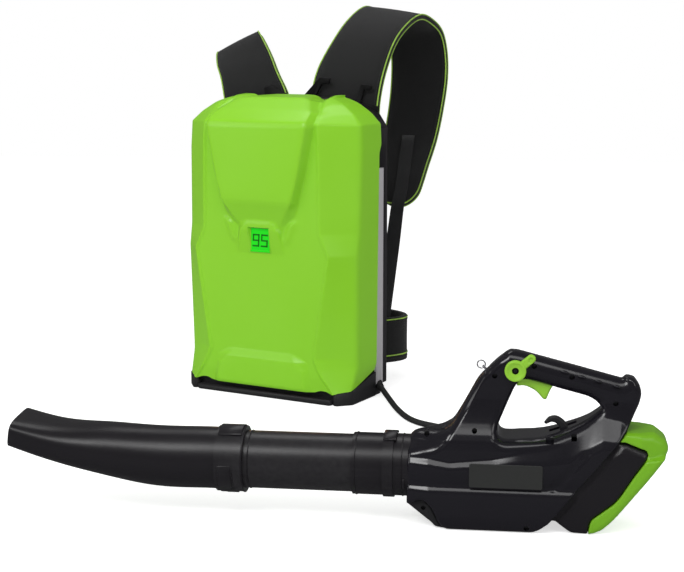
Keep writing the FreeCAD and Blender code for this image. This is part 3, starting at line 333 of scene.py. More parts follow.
usual = {"specular": 0.5, "metal": 0, "rub": 0.2, "rubStart": 0.52, "rubWidth": 0.10, "dust": 0.05, "dustShare": 0.3,
         "dustColor": (0.14, 0.13, 0.12), "depth": 0.00003, "patches": 7, "change": 0.16}
finishes = {
    "limeCover": {"color": (0.252, 0.63, 0.018), "tone": (0.274, 0.66, 0.026), "rough": 0.33, "specular": 0.42,
                  "grain": 1400, "depth": 0.00004, "rub": 0.25, "rubColor": (0.45, 0.75, 0.22)},
    "limeParts": {"color": (0.262, 0.56, 0.03), "tone": (0.284, 0.59, 0.04), "rough": 0.3, "specular": 0.45,
                  "grain": 1500, "rub": 0.25, "rubColor": (0.45, 0.72, 0.2), "dust": 0.04},
    # The adapter lid's colour is the green parts' colour made darker: painted shade on the lid.
    "limeLidPaintedShade": {"color": (0.165, 0.425, 0.008), "tone": (0.18, 0.45, 0.013), "rough": 0.34, "specular": 0.4,
                "grain": 1500, "rub": 0.25, "rubColor": (0.4, 0.66, 0.16), "dust": 0.04},
    "deepBlack": {"color": (0.0028, 0.0028, 0.003), "tone": (0.005, 0.005, 0.0052), "rough": 0.6, "specular": 0.2,
                  "grain": 900, "depth": 0.00005, "rub": 0.15, "rubColor": (0.02, 0.02, 0.02), "dust": 0.02},
    "glossBlack": {"color": (0.006, 0.0054, 0.0082), "tone": (0.0088, 0.008, 0.0115), "rough": 0.17, "grain": 500,
                   "depth": 0.00002, "rubColor": (0.06, 0.06, 0.065)},
    "satinBlack": {"color": (0.0082, 0.007, 0.0092), "tone": (0.0112, 0.0098, 0.0124), "rough": 0.3, "specular": 0.4,
                   "grain": 1200, "depth": 0.00005, "rub": 0.3, "rubColor": (0.06, 0.06, 0.06), "dust": 0.06},
    "matteBlack": {"color": (0.0135, 0.0132, 0.015), "tone": (0.019, 0.0185, 0.0205), "rough": 0.52,
                   "specular": 0.35, "grain": 1600, "depth": 0.0001, "rub": 0.3, "rubColor": (0.07, 0.07, 0.07),
                   "dust": 0.1},
    "greyFrame": {"color": (0.41, 0.398, 0.418), "tone": (0.455, 0.442, 0.462), "rough": 0.42, "specular": 0.4,
                  "grain": 1500, "depth": 0.00006, "rubColor": (0.5, 0.5, 0.5)},
    "paleMoulding": {"color": (0.5, 0.49, 0.46), "tone": (0.56, 0.55, 0.52), "rough": 0.5, "specular": 0.4,
                     "grain": 900, "depth": 0.00005, "rub": 0.1, "rubColor": (0.7, 0.7, 0.7), "dust": 0.1},
    "boardGreen": {"color": (0.02, 0.13, 0.05), "tone": (0.03, 0.19, 0.08), "rough": 0.35, "grain": 400, "rub": 0.1,
                   "rubColor": (0.1, 0.3, 0.15), "dust": 0.1},
    "cellWrap": {"color": (0.05, 0.16, 0.42), "tone": (0.06, 0.2, 0.5), "rough": 0.3, "grain": 300, "depth": 0.00002,
                 "rub": 0.1, "rubColor": (0.3, 0.4, 0.6)},
    "zincSteel": {"color": (0.62, 0.62, 0.64), "tone": (0.72, 0.72, 0.74), "rough": 0.26, "metal": 1, "grain": 2200,
                  "rubColor": (0.85, 0.85, 0.86)},
    "darkSteel": {"color": (0.05, 0.05, 0.052), "tone": (0.09, 0.09, 0.095), "rough": 0.38, "metal": 1,
                  "grain": 1500, "rub": 0.3, "rubColor": (0.3, 0.3, 0.3)},
    "castMetal": {"color": (0.42, 0.42, 0.44), "tone": (0.5, 0.5, 0.52), "rough": 0.4, "metal": 1, "grain": 900,
                  "depth": 0.00006, "rubColor": (0.7, 0.7, 0.7)},
    "copperStrip": {"color": (0.72, 0.38, 0.2), "tone": (0.8, 0.46, 0.26), "rough": 0.28, "metal": 1, "grain": 1200,
                    "rubColor": (0.9, 0.6, 0.4)},
    "softRubber": {"color": (0.0125, 0.0125, 0.013), "tone": (0.02, 0.02, 0.0205), "rough": 0.62, "specular": 0.3,
                   "grain": 2000, "depth": 0.00006, "rubColor": (0.06, 0.06, 0.06), "dust": 0.15},
    "badgePlate": {"color": (0.0225, 0.0235, 0.0225), "tone": (0.029, 0.03, 0.0285), "rough": 0.5, "specular": 0.3,
                   "grain": 700, "rub": 0.1, "rubColor": (0.08, 0.08, 0.08), "dust": 0.08},
}


def makeFinish(name):
    look = {**usual, **finishes[name]}
    material, tree, surface = startMaterial(name, look["specular"])
    surface.inputs["Metallic"].default_value = look["metal"]
    grain = placeGroup(tree, "mouldGrain", Grains=look["grain"], Patches=look["patches"])
    rub = placeGroup(tree, "edgeRub", Start=look["rubStart"], Width=look["rubWidth"])
    dust = placeGroup(tree, "fineDust", Amount=look["dust"])
    base = mixColor(tree, grain.outputs["Tone"], look["color"], look["tone"])
    worn = mixColor(tree, addMath(tree, "MULTIPLY", rub.outputs["Mask"], look["rub"]), base, look["rubColor"])
    lying = addMath(tree, "MULTIPLY", dust.outputs["Mask"], look["dustShare"])
    dusty = mixColor(tree, lying, worn, look["dustColor"])
    tree.links.new(dusty, surface.inputs["Base Color"])
    change = addMath(tree, "MULTIPLY", addMath(tree, "SUBTRACT", grain.outputs["Tone"], 0.5), look["change"])
    rough = addMath(tree, "ADD", change, look["rough"])
    tree.links.new(addMath(tree, "ADD", rough, dust.outputs["Mask"]), surface.inputs["Roughness"])
    addBump(tree, surface, grain.outputs["Height"], look["depth"], 1)
    return material


# Cloth finishes: threads per metre, colours and sheen

usualCloth = {"specular": 0.25, "sheen": 0.12, "sheenRough": 0.5, "threads": 0.35, "change": 0.12, "bump": 0.8}
cloths = {
    "strapCloth": {"color": (0.0066, 0.0066, 0.0069), "tone": (0.0112, 0.0112, 0.0116), "across": 620, "along": 620,
                   "depth": 0.0005, "rough": 0.86},
    "tapeCloth": {"color": (0.0125, 0.0125, 0.0130), "tone": (0.0210, 0.0210, 0.0220), "across": 900, "along": 420,
                  "depth": 0.0006, "rough": 0.78},
    "threadBlack": {"color": (0.0200, 0.0200, 0.0210), "tone": (0.0340, 0.0340, 0.0350), "across": 40, "along": 900,
                    "depth": 0.0002, "rough": 0.7},
    "meshCloth": {"color": (0.0160, 0.0160, 0.0170), "tone": (0.0300, 0.0300, 0.0320), "across": 260, "along": 260,
                  "depth": 0.0012, "rough": 0.9},
    "limePiping": {"color": (0.270, 0.480, 0.045), "tone": (0.330, 0.560, 0.075), "across": 2, "along": 700,
                   "depth": 0.0004, "rough": 0.6},
}


def makeCloth(name):
    look = {**usualCloth, **cloths[name]}
    material, tree, surface = startMaterial(name, look["specular"])
    surface.inputs["Sheen Weight"].default_value = look["sheen"]
    surface.inputs["Sheen Roughness"].default_value = look["sheenRough"]
    weave = placeGroup(tree, "clothWeave", Across=look["across"], Along=look["along"])
    share = addMath(tree, "MULTIPLY_ADD", weave.outputs["Height"], look["threads"])
    base = mixColor(tree, addMath(tree, "ADD", share, weave.outputs["Tone"]), look["color"], look["tone"])
    tree.links.new(base, surface.inputs["Base Color"])
    rough = addMath(tree, "MULTIPLY_ADD", weave.outputs["Tone"], look["change"])
    tree.links.new(addMath(tree, "ADD", rough, look["rough"] - look["change"] / 2), surface.inputs["Roughness"])
    addBump(tree, surface, weave.outputs["Height"], look["depth"], look["bump"])
    return material


def makeGlow(name, color, tone, strength):  # the lit display
    material, tree, surface = startMaterial(name, roughness=0.12)
    grain = placeGroup(tree, "mouldGrain", Grains=600, Patches=40)
    base = mixColor(tree, grain.outputs["Tone"], color, tone)
    tree.links.new(base, surface.inputs["Base Color"])
    tree.links.new(base, surface.inputs["Emission Color"])
    surface.inputs["Emission Strength"].default_value = strength
    return material


nodeFinishes = {
    "satinBlack": ["main_tube", "front_collar", "nozzle", "adapter_case", "pack_back_shell"],
    "glossBlack": ["housing_left", "housing_right"],
    "limeCover": ["pack_front_cover"],
    "limeParts": ["trigger", "cruise_lever"],
    "limeLidPaintedShade": ["adapter_cover"],
    "matteBlack": ["chin_guard", "release_lever", "pack_base_tray", "strap_anchor_left", "strap_anchor_right",
                   "strap_buckles", "belt_buckle_socket", "belt_buckle_tongue", "fan_duct", "stator_vanes",
                   "impeller", "intake_grille", "dock_bay"],
    "greyFrame": ["pack_side_frame"],
    "paleMoulding": ["cell_holders", "display_module", "terminal_block", "trigger_switch", "output_terminal"],
    "cellWrap": ["battery_cells"],
    "copperStrip": ["bus_plates", "adapter_contacts"],
    "boardGreen": ["control_board", "management_board"],
    "zincSteel": ["trigger_pin", "trigger_spring", "release_pin", "release_spring", "pack_screws", "hang_ring",
                  "ring_lug", "motor_rotor", "motor_bearings"],
    "darkSteel": ["housing_screws"],
    "castMetal": ["motor_can", "motor_core"],
    "softRubber": ["power_cord", "cord_gland", "cord_relief"],
    "strapCloth": ["shoulder_strap_left", "shoulder_strap_right", "hip_belt_left", "hip_belt_right"],
    "tapeCloth": ["strap_webbing_left", "strap_webbing_right", "belt_webbing"],
    "meshCloth": ["back_pad", "lumbar_pad"],
    "displayGreen": ["display_lens"],
}
materials = {}


def dressNodes():
    for makeGroup in (makeMouldGrain, makeEdgeRub, makeFineDust, makeWeave):
        makeGroup()
    for name in finishes:
        materials[name] = makeFinish(name)
    for name in cloths:
        materials[name] = makeCloth(name)
    materials["displayGreen"] = makeGlow("displayGreen", (0.010, 0.60, 0.008), (0.014, 0.68, 0.010), 0.22)
    materials["displayDigits"] = makeGlow("displayDigits", (0.004, 0.12, 0.002), (0.005, 0.16, 0.003), 0.1)
    for name, users in nodeFinishes.items():
        for user in users:
            nodes[user].data.materials.clear()
            nodes[user].data.materials.append(materials[name])


def finishPiece(piece, finish, body, slot, *replaced):
    piece.data.materials.clear()
    piece.data.materials.append(materials[finish])
    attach(piece, body)
    if replaced:
        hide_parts(*replaced)
    return piece


def placePiece(piece, finish, body, slot, *replaced):  # from millimetres, and on the pack from its own frame
    if body == "pack":
        turn = Matrix.Rotation(math.radians(packPlace["turn"]), 4, "Z")
        piece.data.transform(Matrix.Translation((packPlace["x"], packPlace["y"], 0)) @ turn)
    toMetres(piece)
    return finishPiece(piece, finish, body, slot, *replaced)


def toMetres(piece):
    piece.data.transform(Matrix.Scale(0.001, 4))


# Power cord, from the pack's gland over the floor and behind the blower to the adapter

cord = {
    "thick": 10, "length": 1160, "exit": (0.3400, -0.9300, -0.1200), "gland": (166, 128, 19), "glandLength": 22,
    "straight": 50, "fineness": 5,
    "route": [
        (-172, 562, 5), (-141, 491, 5), (-93, 459, 5), (-42, 432, 5), (-20, 380, 5), (-30, 310, 5), (-52, 245, 5),
        (-50, 185, 5), (-11, 146, 5), (44, 146, 5), (83, 185, 5), (83, 262, 5), (122, 301, 5), (172, 301, 5),
        (207, 258, 5), (196, 200, 9), (167, 158, 33),
    ],
    "end": [(150, 108.4, 60), (150, 76.4, 60)],
}


def makeCord():
    away = Vector(cord["exit"]).normalized()
    start = packPoint(*cord["gland"]) * 1000 + away * cord["glandLength"]
    points = [start, start + away * cord["straight"]] + [Vector(point) for point in cord["route"] + cord["end"]]
    curve = startCurve("cordLine", cord["thick"] / 2, cord["fineness"])
    line = addLine(curve, "NURBS", [point * 0.001 for point in points])
    line.use_endpoint_u = True
    line.order_u = 3
    piece = addObject("powerCord", curve)
    finishPiece(piece, "softRubber", "pack", "rubber_black", "power_cord")
    print("cord made")


# Cover of the pack, from its outline at each height: half widths, depths and the raised forms on its front

cover = {
    "half": [(8, 170), (67, 174), (262, 176), (440, 178), (486, 176), (504, 158), (521, 132), (532, 104)],
    "front": [(8, 146), (40, 127), (80, 109), (262, 138), (300, 120), (462, 118), (489, 117), (504, 114), (521, 106),
              (532, 98)],
    "facet": [(8, 24), (67, 38), (262, 34), (300, 40), (440, 44), (486, 46), (504, 54), (521, 62), (532, 76)],
    "panel": [(8, 3), (40, 0), (488, 0), (504, 18), (521, 37), (532, 60)],
    "outer": [(8, 105), (71, 95), (85, 71), (170, 60), (262, 50), (286, 47), (303, 46), (331, 73), (383, 87),
              (414, 95), (482, 109), (511, 105), (521, 96), (532, 85)],
    "inner": [(8, 92), (56, 84), (72, 68), (84, 60), (170, 48), (262, 38), (303, 36), (350, 70), (383, 80), (414, 87),
              (484, 101), (511, 97), (521, 89), (532, 78)],
    "rise": [(8, -4), (14, -7), (71, -7), (85, 0), (262, 0), (276, -1), (303, -1), (347, -17), (354, -18.5),
             (482, -18.5), (492, -15.5), (511, 8), (521, 24), (531, 40), (532, 43)],
    "deep": [(8, 110), (436, 110), (450, 118), (532, 118)],
    "step": [(8, 3), (40, 3), (80, 3), (262, 2.5), (300, 2), (470, 2), (488, 0), (532, 0)],
    "crown": 2.2, "crownFrom": (335, 30), "crownTo": (510, 20), "columns": (6, 14, 3, 12, 6, 28), "rows": 3.2,
    "wall": 3, "soften": 2, "lip": 6,
    "window": (23, 261, 307), "windowDeep": 40, "raised": (255, 325, 82, 2),
    "valley": {"drop": 9, "wide": 13, "out": 3, "spread": 24, "from": 496, "run": 30},
    "foot": [(0, 20), (108, 20), (118, 24), (130, 24), (143, 19), (152, 22), (174, 25)], "footTop": 60,
    "footSide": [(28, 25), (194, 73)], "topRows": 8, "topRise": 2,
}
funnel = {"low": (54, 272), "high": (77, 322), "in": 7, "rise": 6.2, "half": 10, "start": 0.25, "end": 0.2}
hood = {"outline": [(-52, 259), (-45, 300), (-37, 314), (-27, 320), (27, 320), (37, 314), (45, 300), (52, 259)],
        "rise": 9, "slope": 5, "low": 258, "climb": 42}


def coverRow(z):
    half, front, facet, panel, deep, step, outer, inner, rise = (along(cover[key], z) for key in (
        "half", "front", "facet", "panel", "deep", "step", "outer", "inner", "rise"))
    corners = [(half, deep), (half, facet), (front, panel - step), (front - cover["lip"], panel), (outer, panel),
               (inner, rise)]
    points = []
    for (x0, y0), (x1, y1), count in zip(corners, corners[1:], cover["columns"]):
        points += [(x0 + (x1 - x0) * k / count, y0 + (y1 - y0) * k / count) for k in range(count)]
    mirrored = [(-x, y) for x, y in reversed(points)]
    (start, climb), (end, fall), middle = cover["crownFrom"], cover["crownTo"], cover["columns"][-1]
    most = cover["crown"] * smoothStep((z - start) / climb) * smoothStep((end - z) / fall)
    for k in range(middle + 1):
        x = inner - 2 * inner * k / middle
        points.append((x, rise - most * (1 - (x / inner) ** 2)))
    return points + mirrored


def hoodRise(x, z):  # the frame that stands round the display
    if not inside(x, z, hood["outline"]):
        return 0
    return min(pathDistance(x, z, hood["outline"]) / hood["slope"], 1) * hoodFront(z)


def hoodFront(z):  # it rises evenly from the display's foot
    return hood["rise"] * min(max((z - hood["low"]) / hood["climb"], 0), 1)


def funnelRise(x, z):  # a slanted facet on both sides of the display
    low, high = funnel["low"], funnel["high"]
    share = (z - low[1]) / (high[1] - low[1])
    if not 0 < share < 1:
        return 0
    middle = low[0] + (high[0] - low[0]) * share - funnel["in"]
    ends = smoothStep(share / funnel["start"]) * smoothStep((1 - share) / funnel["end"])
    return funnel["rise"] * max(0, 1 - abs(abs(x) - middle) / funnel["half"]) * ends


def valleyDrop(x, z, share=0):  # the roof dips beside the shield
    look = cover["valley"]
    place = (abs(x) - along(cover["outer"], z) - look["out"] + look["spread"] * share) / look["wide"]
    return look["drop"] * math.exp(-place * place) * smoothStep((z - look["from"]) / look["run"])


def lowerEdge(x, y):
    side = cover["footSide"]
    return along(cover["foot"], abs(x)) if y < side[0][0] else along(side, y)


def makeCover():
    look = cover
    heights = sorted({z for key in ("half", "front", "inner", "outer", "rise", "step") for z, _ in look[key]})
    rows = []
    for low, high in zip(heights, heights[1:]):
        count = max(1, round((high - low) / look["rows"]))
        rows += [low + (high - low) * k / count for k in range(count)]
    rows.append(heights[-1])
    points, faces = [], []
    low, high, wide, deep = look["raised"]
    base, top, footTop = heights[0], heights[-1], look["footTop"]
    for z in rows:
        for x, y in coverRow(z):
            if low < z < high and abs(x) < wide and y < deep:
                y = min(y, -hoodRise(x, z), -funnelRise(x, z))
            if z < footTop:
                foot = lowerEdge(x, y)
                points.append((x, y, foot + (z - base) * (footTop - foot) / (footTop - base)))
            else:
                points.append((x, y, z - valleyDrop(x, z)))
    for k in range(1, look["topRows"] + 1):  # the top runs back from the last row
        share = k / look["topRows"]
        for x, y in coverRow(top):
            back = y + (look["deep"][-1][1] - y) * share
            points.append((x, back, top + look["topRise"] * share - valleyDrop(x, top, share)))
    across = len(coverRow(base))
    for row in range(len(points) // across - 1):
        for k in range(across - 1):
            a = row * across + k
            faces.append((a, a + across, a + across + 1, a + 1))
    piece = meshObject("packCover", points, faces)
    soft = piece.modifiers.new("soften", "SMOOTH")
    soft.factor = 0.5
    soft.iterations = look["soften"]
    finer = piece.modifiers.new("finer", "SUBSURF")
    finer.levels = finer.render_levels = 1
    shell = piece.modifiers.new("shell", "SOLIDIFY")
    shell.thickness = look["wall"]
    shell.offset = -1
    applyModifiers(piece)
    half, low, high = look["window"]
    deep = look["windowDeep"]
    cutForm(piece, [cutter("windowCut", boxShape((-half, -deep, low), (half, deep, high)))])
    placePiece(piece, "limeCover", "pack", "green_cover", "pack_front_cover")
    piece.visible_glossy = False  # the photo's two halves don't mirror each other
    print("cover made:", len(piece.data.polygons), "faces")
    makeBezel()


# Rings of the frame: how far in, how far out of the hood's front or how deep, and how much more at its left and foot

bezel = [(-0.5, 0.1, None, 0, 0), (0.2, 0.6, None, 0, 0), (1.2, 0.3, None, 0, 0), (2.3, 0, -3.2, 2.6, 1.6),
         (2.6, 0, 2.5, 2.6, 1.6)]


def makeBezel():  # the sunk frame between the cover and the display
    half, low, high = cover["window"]
    points = []
    for inset, out, deep, atLeft, atFoot in bezel:
        left, right, foot, top = inset - half + atLeft, half - inset, low + inset + atFoot, high - inset
        for x, z in ((left, foot), (right, foot), (right, top), (left, top)):
            points.append((x, -hoodFront(z) - out if deep is None else deep, z))
    piece = cutter("displayBezel", (points, ringFaces(len(bezel), 4)))
    placePiece(piece, "limeCover", "pack", "green_cover")


display = {"front": -3.35, "deep": 0.3, "digits": ((-15.2, "9"), (2.2, "5")), "low": 271, "high": 294, "wide": 14.6,
           "bar": 3.3, "inset": 0.35, "slant": 0.06, "bars": {"9": "abcdfg", "5": "acdfg"}}
blockFaces = [(0, 1, 2, 3), (7, 6, 5, 4), (0, 4, 5, 1), (1, 5, 6, 2), (2, 6, 7, 3), (3, 7, 4, 0)]


def makeDisplay():  # the charge in plain figures of seven bars
    look = display
    points, faces = [], []
    low, high, bar, inset = look["low"], look["high"], look["bar"], look["inset"]
    middle = (low + high) / 2
    for left, digit in look["digits"]:
        right = left + look["wide"]
        places = {
            "a": (left, high - bar, right, high), "g": (left, middle - bar / 2, right, middle + bar / 2),
            "d": (left, low, right, low + bar), "f": (left, middle, left + bar, high),
            "b": (right - bar, middle, right, high), "c": (right - bar, low, right, middle),
        }
        for name in look["bars"][digit]:
            x0, z0, x1, z1 = places[name]
            x0, z0, x1, z1 = x0 + inset, z0 + inset, x1 - inset, z1 - inset
            faces += [tuple(len(points) + k for k in face) for face in blockFaces]
            for y in (look["front"], look["front"] + look["deep"]):
                for x, z in ((x0, z0), (x1, z0), (x1, z1), (x0, z1)):
                    points.append((x + (z - middle) * look["slant"], y, z))
    placePiece(cutter("displayFigures", (points, faces)), "displayDigits", "pack", "display")


# Straps, belt and tapes: pairs of edge points in the pack's frame

rightStrap = [
    ((8, 161.6, 470), (146, 161.6, 470)), ((9, 162.2, 520), (148, 162.2, 520)), ((13, 180, 575), (150, 180, 572)),
    ((31, 212, 632), (154, 212, 624)), ((38, 255, 668), (159, 255, 657)), ((42, 305, 688), (161, 305, 672)),
    ((46, 350, 676), (165, 350, 660)), ((48, 382, 648), (166, 382, 640)), ((50, 398, 606), (167, 398, 603)),
    ((50, 400, 558), (167, 400, 558)), ((50, 391, 506), (164, 391, 506)), ((52, 366, 447), (163, 366, 447)),
    ((54, 328, 398), (164, 328, 398)), ((62, 305, 372), (166, 305, 372)), ((76, 289, 352), (166, 289, 352)),
    ((88, 280, 340), (161, 280, 340)), ((99, 274.5, 332), (153, 274.5, 332)), ((112, 271, 327), (144, 271, 327)),
]
leftStrap = [
    ((-172, 161.6, 470), (-36, 161.6, 478)), ((-179, 162, 516), (-41, 162, 528)),
    ((-195, 174, 556), (-72, 178, 570)), ((-214, 190, 580), (-100, 196, 606)), ((-229, 212, 602), (-140, 224, 642)),
    ((-234, 236, 596), (-158, 250, 630)), ((-238, 268, 572), (-166, 284, 598)), ((-240, 298, 536), (-160, 312, 556)),
    ((-236, 316, 490), (-152, 326, 504)), ((-226, 320, 444), (-142, 328, 450)), ((-212, 312, 402), (-132, 318, 404)),
    ((-200, 300, 368), (-132, 303, 368)), ((-186, 290, 342), (-142, 291, 342)),
]
rightTape = [
    (106, 361, 450, 0), (118, 323, 402, 0), (126, 299.4, 376, 0), (131, 283.4, 356, 0), (133.5, 273.5, 344, 0),
    (135, 260, 322, 4), (137, 240, 262, 18), (139.5, 218, 200, 34), (142, 199, 144, 50), (142.3, 194.1, 123, 54.6),
    (142.3, 194.1, 101.4, 54.6),
]
leftTape = [
    (-164, 284.6, 344, 0), (-160, 262, 300, -8), (-152, 228, 212, -30), (-143.5, 200, 144, -50),
    (-142.3, 194.1, 123, -54.6), (-142.3, 194.1, 101.4, -54.6),
]
beltWing = [(66, 160), (104, 160.5), (134, 167), (161, 205), (165, 233), (148, 257), (115, 272), (82, 277)]
band = {"edge": [(0, 0.5), (0.35, 0.85), (1, 1)], "steps": 8, "backCrown": 0.4}  # edge: shares of corner and half
strap = {"thick": 9, "crown": 1.4, "corner": 1.6, "finer": 5, "pipe": 1.3, "pipeIn": 0.9, "stitchIn": 6.5}
stitch = {"long": 3.2, "gap": 1.5, "wide": 0.75, "high": 0.55, "out": 0.25,
          "bow": ((-0.5, -0.15), (-0.3, 0.8), (0.3, 0.8), (0.5, -0.15))}
belt = {"low": 44, "high": 127, "thick": 10, "crown": 1.2, "corner": 1.8, "finer": 4, "pipe": 1.2, "stitchIn": 7,
        "pipes": ((3, 0.96, True), (13, 1.05, False))}
tape = {"thick": 2.3, "half": 13, "crown": 0.15, "corner": 0.8, "finer": 3, "stitchIn": 2.6, "out": 0.2, "sewn": 3}
beltTape = {"in": 23.5, "thick": 2.3, "crown": 0.1, "corner": 0.8, "finer": 3,
            "path": [(88, 283.2), (80, 283.0), (70, 281.2), (56, 278.6), (44, 277.6), (34.4, 277.3)]}


def smoothLine(points, count):  # more points on a smooth curve through these
    full = []
    for k, (near, far) in enumerate(zip(points, points[1:])):
        before, after = points[max(k - 1, 0)], points[min(k + 2, len(points) - 1)]
        for step in range(count):
            t = step / count
            full.append(0.5 * ((2 * near) + (far - before) * t + (2 * before - 5 * near + 4 * far - after) * t**2
                               + (3 * near - before - 3 * far + after) * t**3))
    return full + [points[-1]]


def bandFrame(pairs, count):
    lefts, rights = (smoothLine([Vector(pair[side]) for pair in pairs], count) for side in (0, 1))
    middles = [(a + b) / 2 for a, b in zip(lefts, rights)]
    rows = []
    for k, (left, right) in enumerate(zip(lefts, rights)):
        ahead = middles[min(k + 1, len(middles) - 1)] - middles[max(k - 1, 0)]
        rows.append((left, right, middles[k], (right - left).cross(ahead).normalized()))
    return rows


def bandPiece(name, rows, look, finish, slot, *replaced):  # a thick band with rounded edges and a low crown
    half, crown, corner = look["thick"] / 2, look["crown"], look["corner"]
    points, across, lengths = [], [], []
    travelled = 0
    for k, (left, right, middle, out) in enumerate(rows):
        wide = (right - left).length
        side = (right - left) / wide
        if k:
            travelled += (middle - rows[k - 1][2]).length
        lengths.append(travelled)
        ring = [(share * corner, rise * half) for share, rise in band["edge"]]
        for step in range(1, band["steps"]):
            place = corner + (wide - 2 * corner) * step / band["steps"]
            ring.append((place, half + crown * (1 - (2 * place / wide - 1) ** 2)))
        ring += [(wide - share * corner, rise * half) for share, rise in reversed(band["edge"])]
        ring += [(place, -height if height <= half else -half + (height - half) * band["backCrown"])
                 for place, height in reversed(ring)]
        points += [left + side * place + out * height for place, height in ring]
        across.append([place for place, _ in ring])
    count = len(across[0])
    faces = ringFaces(len(rows), count) + [tuple(range(count - 1, -1, -1)),
                                           tuple(range(len(points) - count, len(points)))]
    piece = meshObject(name, points, faces)
    layer = piece.data.uv_layers.new(name="cloth")
    for loop in piece.data.loops:
        row, k = divmod(loop.vertex_index, count)
        layer.data[loop.index].uv = (across[row][k] / 1000, lengths[row] / 1000)
    return placePiece(piece, finish, "pack", slot, *replaced)


def pipingPiece(name, lines, radius, finish="limePiping", slot="strap_fabric"):
    curve = startCurve(name, radius, 2)
    for places in lines:
        addLine(curve, "POLY", [packPoint(*place) for place in places])
    rough = addObject(name + "Line", curve)
    mesh = bpy.data.meshes.new_from_object(rough.evaluated_get(bpy.context.evaluated_depsgraph_get()))
    bpy.data.objects.remove(rough)
    mesh.polygons.foreach_set("use_smooth", [True] * len(mesh.polygons))
    finishPiece(addObject(name, mesh), finish, "pack", slot)


def stitchPiece(name, lines, slot):  # rows of short threads; each line gives places and outward ways
    points, faces = [], []
    for line in lines:
        travelled, due = 0, stitch["gap"]
        for (start, way), (end, _) in zip(line, line[1:]):
            run = (end - start).length
            if run < 0.01:
                continue
            ahead = (end - start) / run
            side = ahead.cross(way).normalized() * stitch["wide"] / 2
            while due < travelled + run:
                middle = start + ahead * (due - travelled)
                first = len(points)
                for share, rise in stitch["bow"]:
                    spot = middle + ahead * stitch["long"] * share + way * stitch["high"] * rise
                    points += [spot + side, spot - side]
                faces += [(first + k, first + k + 1, first + k + 3, first + k + 2) for k in (0, 2, 4)]
                faces += [(first, first + 2, first + 4, first + 6), (first + 1, first + 7, first + 5, first + 3)]
                due += stitch["long"] + stitch["gap"]
            travelled += run
    placePiece(meshObject(name, points, faces), "threadBlack", "pack", slot)


def insetLine(rows, inset, rise, atRight=False):  # places along one edge of a band, each with its outward way
    line = []
    for left, right, _, out in rows:
        across = (right - left).normalized()
        start = right - across * inset if atRight else left + across * inset
        line.append((start + out * rise, out * (1 if rise > 0 else -1)))
    return line


def insetPlaces(*where):
    return [place for place, _ in insetLine(*where)]


def stitchBand(name, rows, look):  # along both edges of both faces
    rise = look["thick"] / 2 + stitch["out"]
    stitchPiece(name, [insetLine(rows, look["stitchIn"], rise * face, atRight) for face in (1, -1)
                       for atRight in (False, True)], "strap_fabric")


def makeStraps():
    for name, node, pairs in (("rightStrap", "shoulder_strap_right", rightStrap),
                              ("leftStrap", "shoulder_strap_left", leftStrap)):
        rows = bandFrame(pairs, strap["finer"])
        piece = bandPiece(name, rows, strap, "strapCloth", "strap_fabric", node)
        lines = []
        for face in (1, -1):
            down, up = (insetPlaces(rows, strap["pipeIn"], strap["thick"] / 2 * face, atRight)
                        for atRight in (False, True))
            lines.append(down + up[::-1])
        pipingPiece(name + "Piping", lines, strap["pipe"])
        stitchBand(name + "Stitches", rows, strap)
    print("straps made")


def makeBelt():
    for side, name, node in ((-1, "Left", "hip_belt_left"), (1, "Right", "hip_belt_right")):
        pairs = [((x * side, y, belt["low"]), (x * side, y, belt["high"])) for x, y in beltWing]
        rows = bandFrame(pairs, belt["finer"])
        piece = bandPiece("beltWing" + name, rows, belt, "strapCloth", "strap_fabric", node)
        pipingPiece("beltPiping" + name, [insetPlaces(rows, inset, -side * belt["thick"] / 2 * rise, atRight)
                                          for inset, rise, atRight in belt["pipes"]], belt["pipe"])
        stitchBand("beltStitches" + name, rows, belt)
    print("belt made")


def makeTapes():
    for name, node, path in (("rightTape", "strap_webbing_right", rightTape),
                             ("leftTape", "strap_webbing_left", leftTape)):
        pairs = []
        for x, y, z, turn in path:
            wide = Vector((math.cos(math.radians(turn)), math.sin(math.radians(turn)), 0)) * tape["half"]
            pairs.append((Vector((x, y, z)) - wide, Vector((x, y, z)) + wide))
        rows = bandFrame(pairs, tape["finer"])
        bandPiece(name, rows, tape, "tapeCloth", "webbing", node)
        stitchPiece(name + "Stitches", [
            insetLine(rows[:tape["sewn"] * tape["finer"]], tape["stitchIn"], tape["thick"] / 2 + tape["out"], atRight)
            for atRight in (False, True)], "webbing")
    print("tapes made")


def makeBeltWebbing():
    low, high = belt["low"] + beltTape["in"], belt["high"] - beltTape["in"]
    for side, name, replaced in ((-1, "Left", []), (1, "Right", ["belt_webbing"])):
        pairs = [((x * side, y, low), (x * side, y, high)) for x, y in beltTape["path"]]
        bandPiece("beltTape" + name, bandFrame(pairs, beltTape["finer"]), beltTape, "tapeCloth", "webbing", *replaced)
    print("belt webbing made")


# Bevelled pieces: plain solids whose edges are broken

def prismShape(outline, low, high):
    count = len(outline)
    points = [(x, y, z) for z in (low, high) for x, y in outline]
    faces = [tuple(range(count)), tuple(range(2 * count - 1, count - 1, -1))]
    return points, faces + ringFaces(2, count)


sharpTurn = math.radians(38)


def breakEdges(piece, width):
    bevel = piece.modifiers.new("edges", "BEVEL")
    bevel.width = width
    bevel.segments = 2
    bevel.limit_method = "ANGLE"
    bevel.angle_limit = math.radians(28)
    bevel.harden_normals = True
    applyModifiers(piece)
    piece.data.set_sharp_from_angle(angle=sharpTurn)


def mergeFlats(whole):
    bmesh.ops.remove_doubles(whole, verts=whole.verts, dist=0.00002)
    bmesh.ops.dissolve_limit(whole, angle_limit=math.radians(1), verts=whole.verts, edges=whole.edges)


